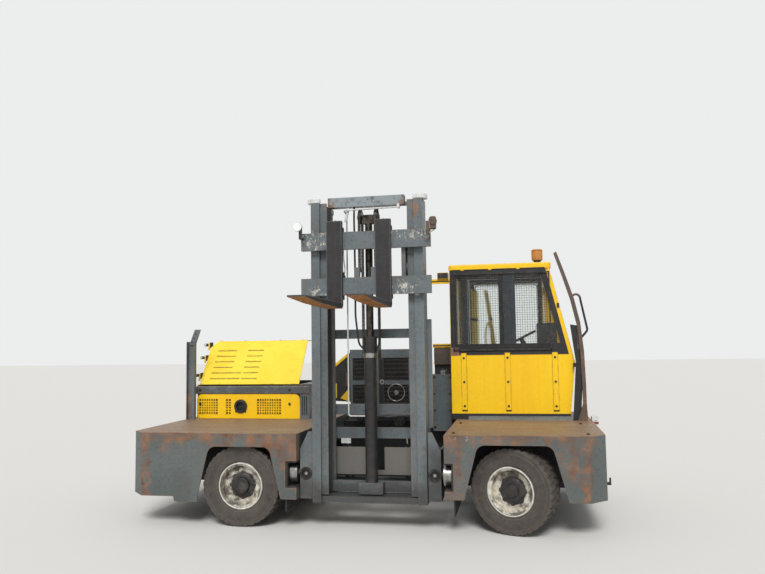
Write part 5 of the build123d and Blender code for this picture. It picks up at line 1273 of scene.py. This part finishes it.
class DressSeat(bpy.types.Operator):
    """Makes the driver's seat with its sewn cushions and armrests"""
    bl_idname = "side_loader.seat"
    bl_label = "Seat"

    def execute(self, context):
        x, y = 1170, 1792.5
        leaned = Matrix.Rotation(-0.1, 4, "Y") @ Matrix.Translation((0, 0, 220))
        for name, size, place in (
            ("seat_cushion", (427, 396, 98), Matrix.Translation((x + 8.5, y, 1115))),
            ("seat_backrest", (76, 376, 440), Matrix.Translation((x - 192, y, 1168)) @ leaned),
        ):
            pad = self.stuffed(name, size)
            pad.data.transform(TO_METRES @ place @ Matrix.Scale(1000, 4))
            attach(pad, "truck")
        base = Shape()
        base.box((x - 198, y - 153, 906), (x + 198, y + 153, 990), BLACK, 12)
        bellows = Shape()
        bellows.box((x - 185, y - 145, 0), (x + 185, y + 145, 12), RUBBER, 5)
        base.repeat(bellows, RUBBER, rows=4, row_step=(0, 0, 15), place=(0, 0, 988))
        base.box((x - 200, y - 190, 1046), (x + 212, y + 190, 1070), PLASTIC, 8)
        shell = ((x - 238, 1156), (x - 226, 1156), (x - 268, 1612), (x - 278, 1600))
        base.skin([upright(edge, shell) for edge in (y - 184, y + 184)], PLASTIC)
        for rest in (y - 186, y + 186):
            arm = upright(rest, ((x - 215, 1330), (x - 60, 1342), (x + 110, 1332)))
            base.tube(arm, 18, PLASTIC, bend=30, sides=12)
        base.finish_piece("seat_base", "truck", ["seat"])
        return {"FINISHED"}

    def stuffed(self, name, size):
        """A pad centred on the origin: a crowned box filled by air pressure, then drawn in where it is sewn."""
        half = Vector(size) / 2000
        thin = min(range(3), key=lambda at: size[at])
        wide = [at for at in range(3) if at != thin]
        form = bmesh.new()
        bmesh.ops.create_cube(form, size=2)
        bmesh.ops.subdivide_edges(form, edges=form.edges, cuts=15, use_grid_fill=True)
        for vert in form.verts:
            fall = math.prod(max(0, 1 - abs(vert.co[at]) ** 6) for at in wide)
            vert.co[thin] *= 0.66 + 0.26 * fall ** 0.5
            vert.co = Vector(vert.co[at] * (half[at] - SLACK) for at in range(3))
        pad = linked(name, mesh_of(form, name))
        net = pad.modifiers.new("even net", "REMESH")
        net.mode, net.voxel_size = "VOXEL", NET
        self.settle(pad)
        self.fill_with_air(pad, cap=SWELL)
        for vert in pad.data.vertices:
            share = [vert.co[at] / half[at] for at in range(3)]
            channel = min(abs(share[wide[0]] - line) for line in CHANNELS) / CHANNEL_WIDTH
            seam = abs(abs(share[thin]) - SEAM) / SEAM_WIDTH
            edge = max(abs(share[at]) for at in wide)
            if edge < BORDER:
                vert.co[thin] *= 1 - CHANNEL_DEPTH * max(0, 1 - channel ** 2) * min(1, (BORDER - edge) * 12)
            elif seam < 1:
                for at in wide:
                    vert.co[at] *= 1 - SEAM_DEPTH * (1 - seam ** 2)
            vert.co = Vector(max(-half[at], min(half[at], vert.co[at])) for at in range(3))
        even = pad.modifiers.new("soft", "SMOOTH")
        even.factor, even.iterations = 0.5, 4
        self.settle(pad)
        pad.data.materials.clear()
        pad.data.materials.append(FINISHES["vinyl"])
        pad.data.shade_smooth()
        return pad

    @staticmethod
    def settle(pad):
        """Swaps a piece's mesh for what its modifiers make of it, and takes them off."""
        made = worked_out(pad)
        pad.modifiers.clear()
        pad.data = made

    def fill_with_air(self, pad, cap):
        """Swells a closed mesh as cloth under pressure, with no point going further than the cap, in metres."""
        before = [vert.co.copy() for vert in pad.data.vertices]
        cloth = pad.modifiers.new("filling", "CLOTH")
        cloth.settings.use_pressure = True
        cloth.settings.uniform_pressure_force = 4
        cloth.settings.effector_weights.gravity = 0
        cloth.collision_settings.use_collision = False
        for moment in range(1, 21):
            bpy.context.scene.frame_set(moment)
        self.settle(pad)
        bpy.context.scene.frame_set(1)
        for vert, start in zip(pad.data.vertices, before):
            move = vert.co - start
            if move.length > cap:
                vert.co = start + move * (cap / move.length)


class DressDecks(bpy.types.Operator):
    """Adds seams and bolts to the platforms and an angle strip under the near one"""
    bl_idname = "side_loader.decks"
    bl_label = "Platforms"

    def execute(self, context):
        decks = Shape()
        decks.boxes(
            ((-2013, -1.5, 372), (-2003, 2, 432), GUARD, 1),
            ((-2013, -1.5, 372), (-1988, 2, 381), GUARD, 1),
            ((-2010, 1219, DECK_TOP - 1), (-525, 1226, DECK_TOP + 2.5), DECK, 1),
            ((966, 1219, DECK_TOP - 1), (2160, 1226, DECK_TOP + 2.5), DECK, 1),
        )
        decks.repeat(bolt_head(22, UP), CHAIN, columns=2, rows=2, step=(1150, 0, 0), row_step=(0, 800, 0),
                     place=(880, 160, DECK_TOP - 0.5))
        decks.finish_piece("deck_seams", "truck")
        return {"FINISHED"}


# The photo's camera: focal length and width in its pixels, place on the truck in mm, and angles in degrees
FOCAL, PICTURE_WIDTH = 713, 765
CAMERA_PLACE = (1482, -6215, 1630)
CAMERA_ANGLES = (10.83, 4.65, -0.84)


class DressStage(bpy.types.Operator):
    """Lays the floor and sets up the even light and the camera"""
    bl_idname = "side_loader.stage"
    bl_label = "Stage"

    def execute(self, context):
        look, scene = context.scene.side_loader_light, context.scene
        reach = 60
        form = bmesh.new()
        form.faces.new([form.verts.new((x * reach, y * reach, 0)) for x, y in ((-1, -1), (1, -1), (1, 1), (-1, 1))])
        floor = linked("studio_floor", mesh_of(form, "studio_floor"))
        floor.data.materials.append(Finish("studio floor").done((*look.floor, 1), 0.9))

        world = bpy.data.worlds.new("studio")
        scene.world = world
        world.use_nodes = True
        tree = world.node_tree
        tree.nodes.clear()
        rays = add(tree, "ShaderNodeLightPath").outputs
        seen = rays["Is Camera Ray"]
        for ray in ("Is Glossy Ray", "Is Transmission Ray"):
            seen = add(tree, "ShaderNodeMath", {0: seen, 1: rays[ray]}, operation="MAXIMUM")
        strength = add(tree, "ShaderNodeMix", {0: seen, 2: look.sky, 3: 1.0}, data_type="FLOAT")
        light = add(tree, "ShaderNodeBackground", {"Color": linear("#eceded"), "Strength": strength})
        add(tree, "ShaderNodeOutputWorld", {"Surface": light})

        lamp = bpy.data.lights.new("sun", "SUN")
        lamp.energy = look.sun
        lamp.angle = math.radians(22)
        linked("sun", lamp).rotation_euler = Vector((-0.1, 0.8, -0.8)).to_track_quat("-Z", "Y").to_euler()

        scene.view_settings.view_transform = "Standard"
        yaw, pitch, roll = (math.radians(angle) for angle in CAMERA_ANGLES)
        forward = Vector((-math.sin(yaw) * math.cos(pitch), math.cos(yaw) * math.cos(pitch), math.sin(pitch)))
        right = Vector((math.cos(yaw), math.sin(yaw), 0))
        above = right.cross(forward)
        turned_right = right * math.cos(roll) + above * math.sin(roll)
        turned_up = above * math.cos(roll) - right * math.sin(roll)
        view = bpy.data.cameras.new("view")
        view.sensor_width = 36
        view.lens = 36 * FOCAL / PICTURE_WIDTH
        camera = linked("view", view)
        turn = Matrix((turned_right, turned_up, -forward)).transposed().to_4x4()
        camera.matrix_world = Matrix.Translation(metres(CAMERA_PLACE)) @ turn
        scene.camera = camera
        return {"FINISHED"}


class SideLoaderPanel(bpy.types.Panel):
    """Sidebar list of the steps, in order"""
    bl_idname = "VIEW3D_PT_side_loader"
    bl_label = "Side Loader"
    bl_space_type = "VIEW_3D"
    bl_region_type = "UI"
    bl_category = "Side Loader"

    def draw(self, context):
        for settings in (context.scene.side_loader_sizes, context.scene.side_loader_light):
            for name in settings.__annotations__:
                self.layout.prop(settings, name)
        for step in STEPS:
            self.layout.operator(step.bl_idname)


STEPS = (
    DressFinishes, DressWheels, DressWindowGuard, DressCab, DressEngineEnd, DressMast, DressCarriage, DressLamps,
    DressBehindMast, DressSeat, DressDecks, DressStage,
)
CLASSES = (SideLoaderSizes, SideLoaderLight, *STEPS, SideLoaderPanel)


def register():
    """Registers the classes and hangs the settings on the scene."""
    for each in CLASSES:
        bpy.utils.register_class(each)
    bpy.types.Scene.side_loader_sizes = bpy.props.PointerProperty(type=SideLoaderSizes)
    bpy.types.Scene.side_loader_light = bpy.props.PointerProperty(type=SideLoaderLight)


def unregister():
    """Takes the settings and the classes away again."""
    del bpy.types.Scene.side_loader_light
    del bpy.types.Scene.side_loader_sizes
    for each in reversed(CLASSES):
        bpy.utils.unregister_class(each)


def main():
    """Makes every piece in order."""
    register()
    for step in STEPS:
        area, name = step.bl_idname.split(".")
        getattr(getattr(bpy.ops, area), name)()


if __name__ == "__main__":
    main()
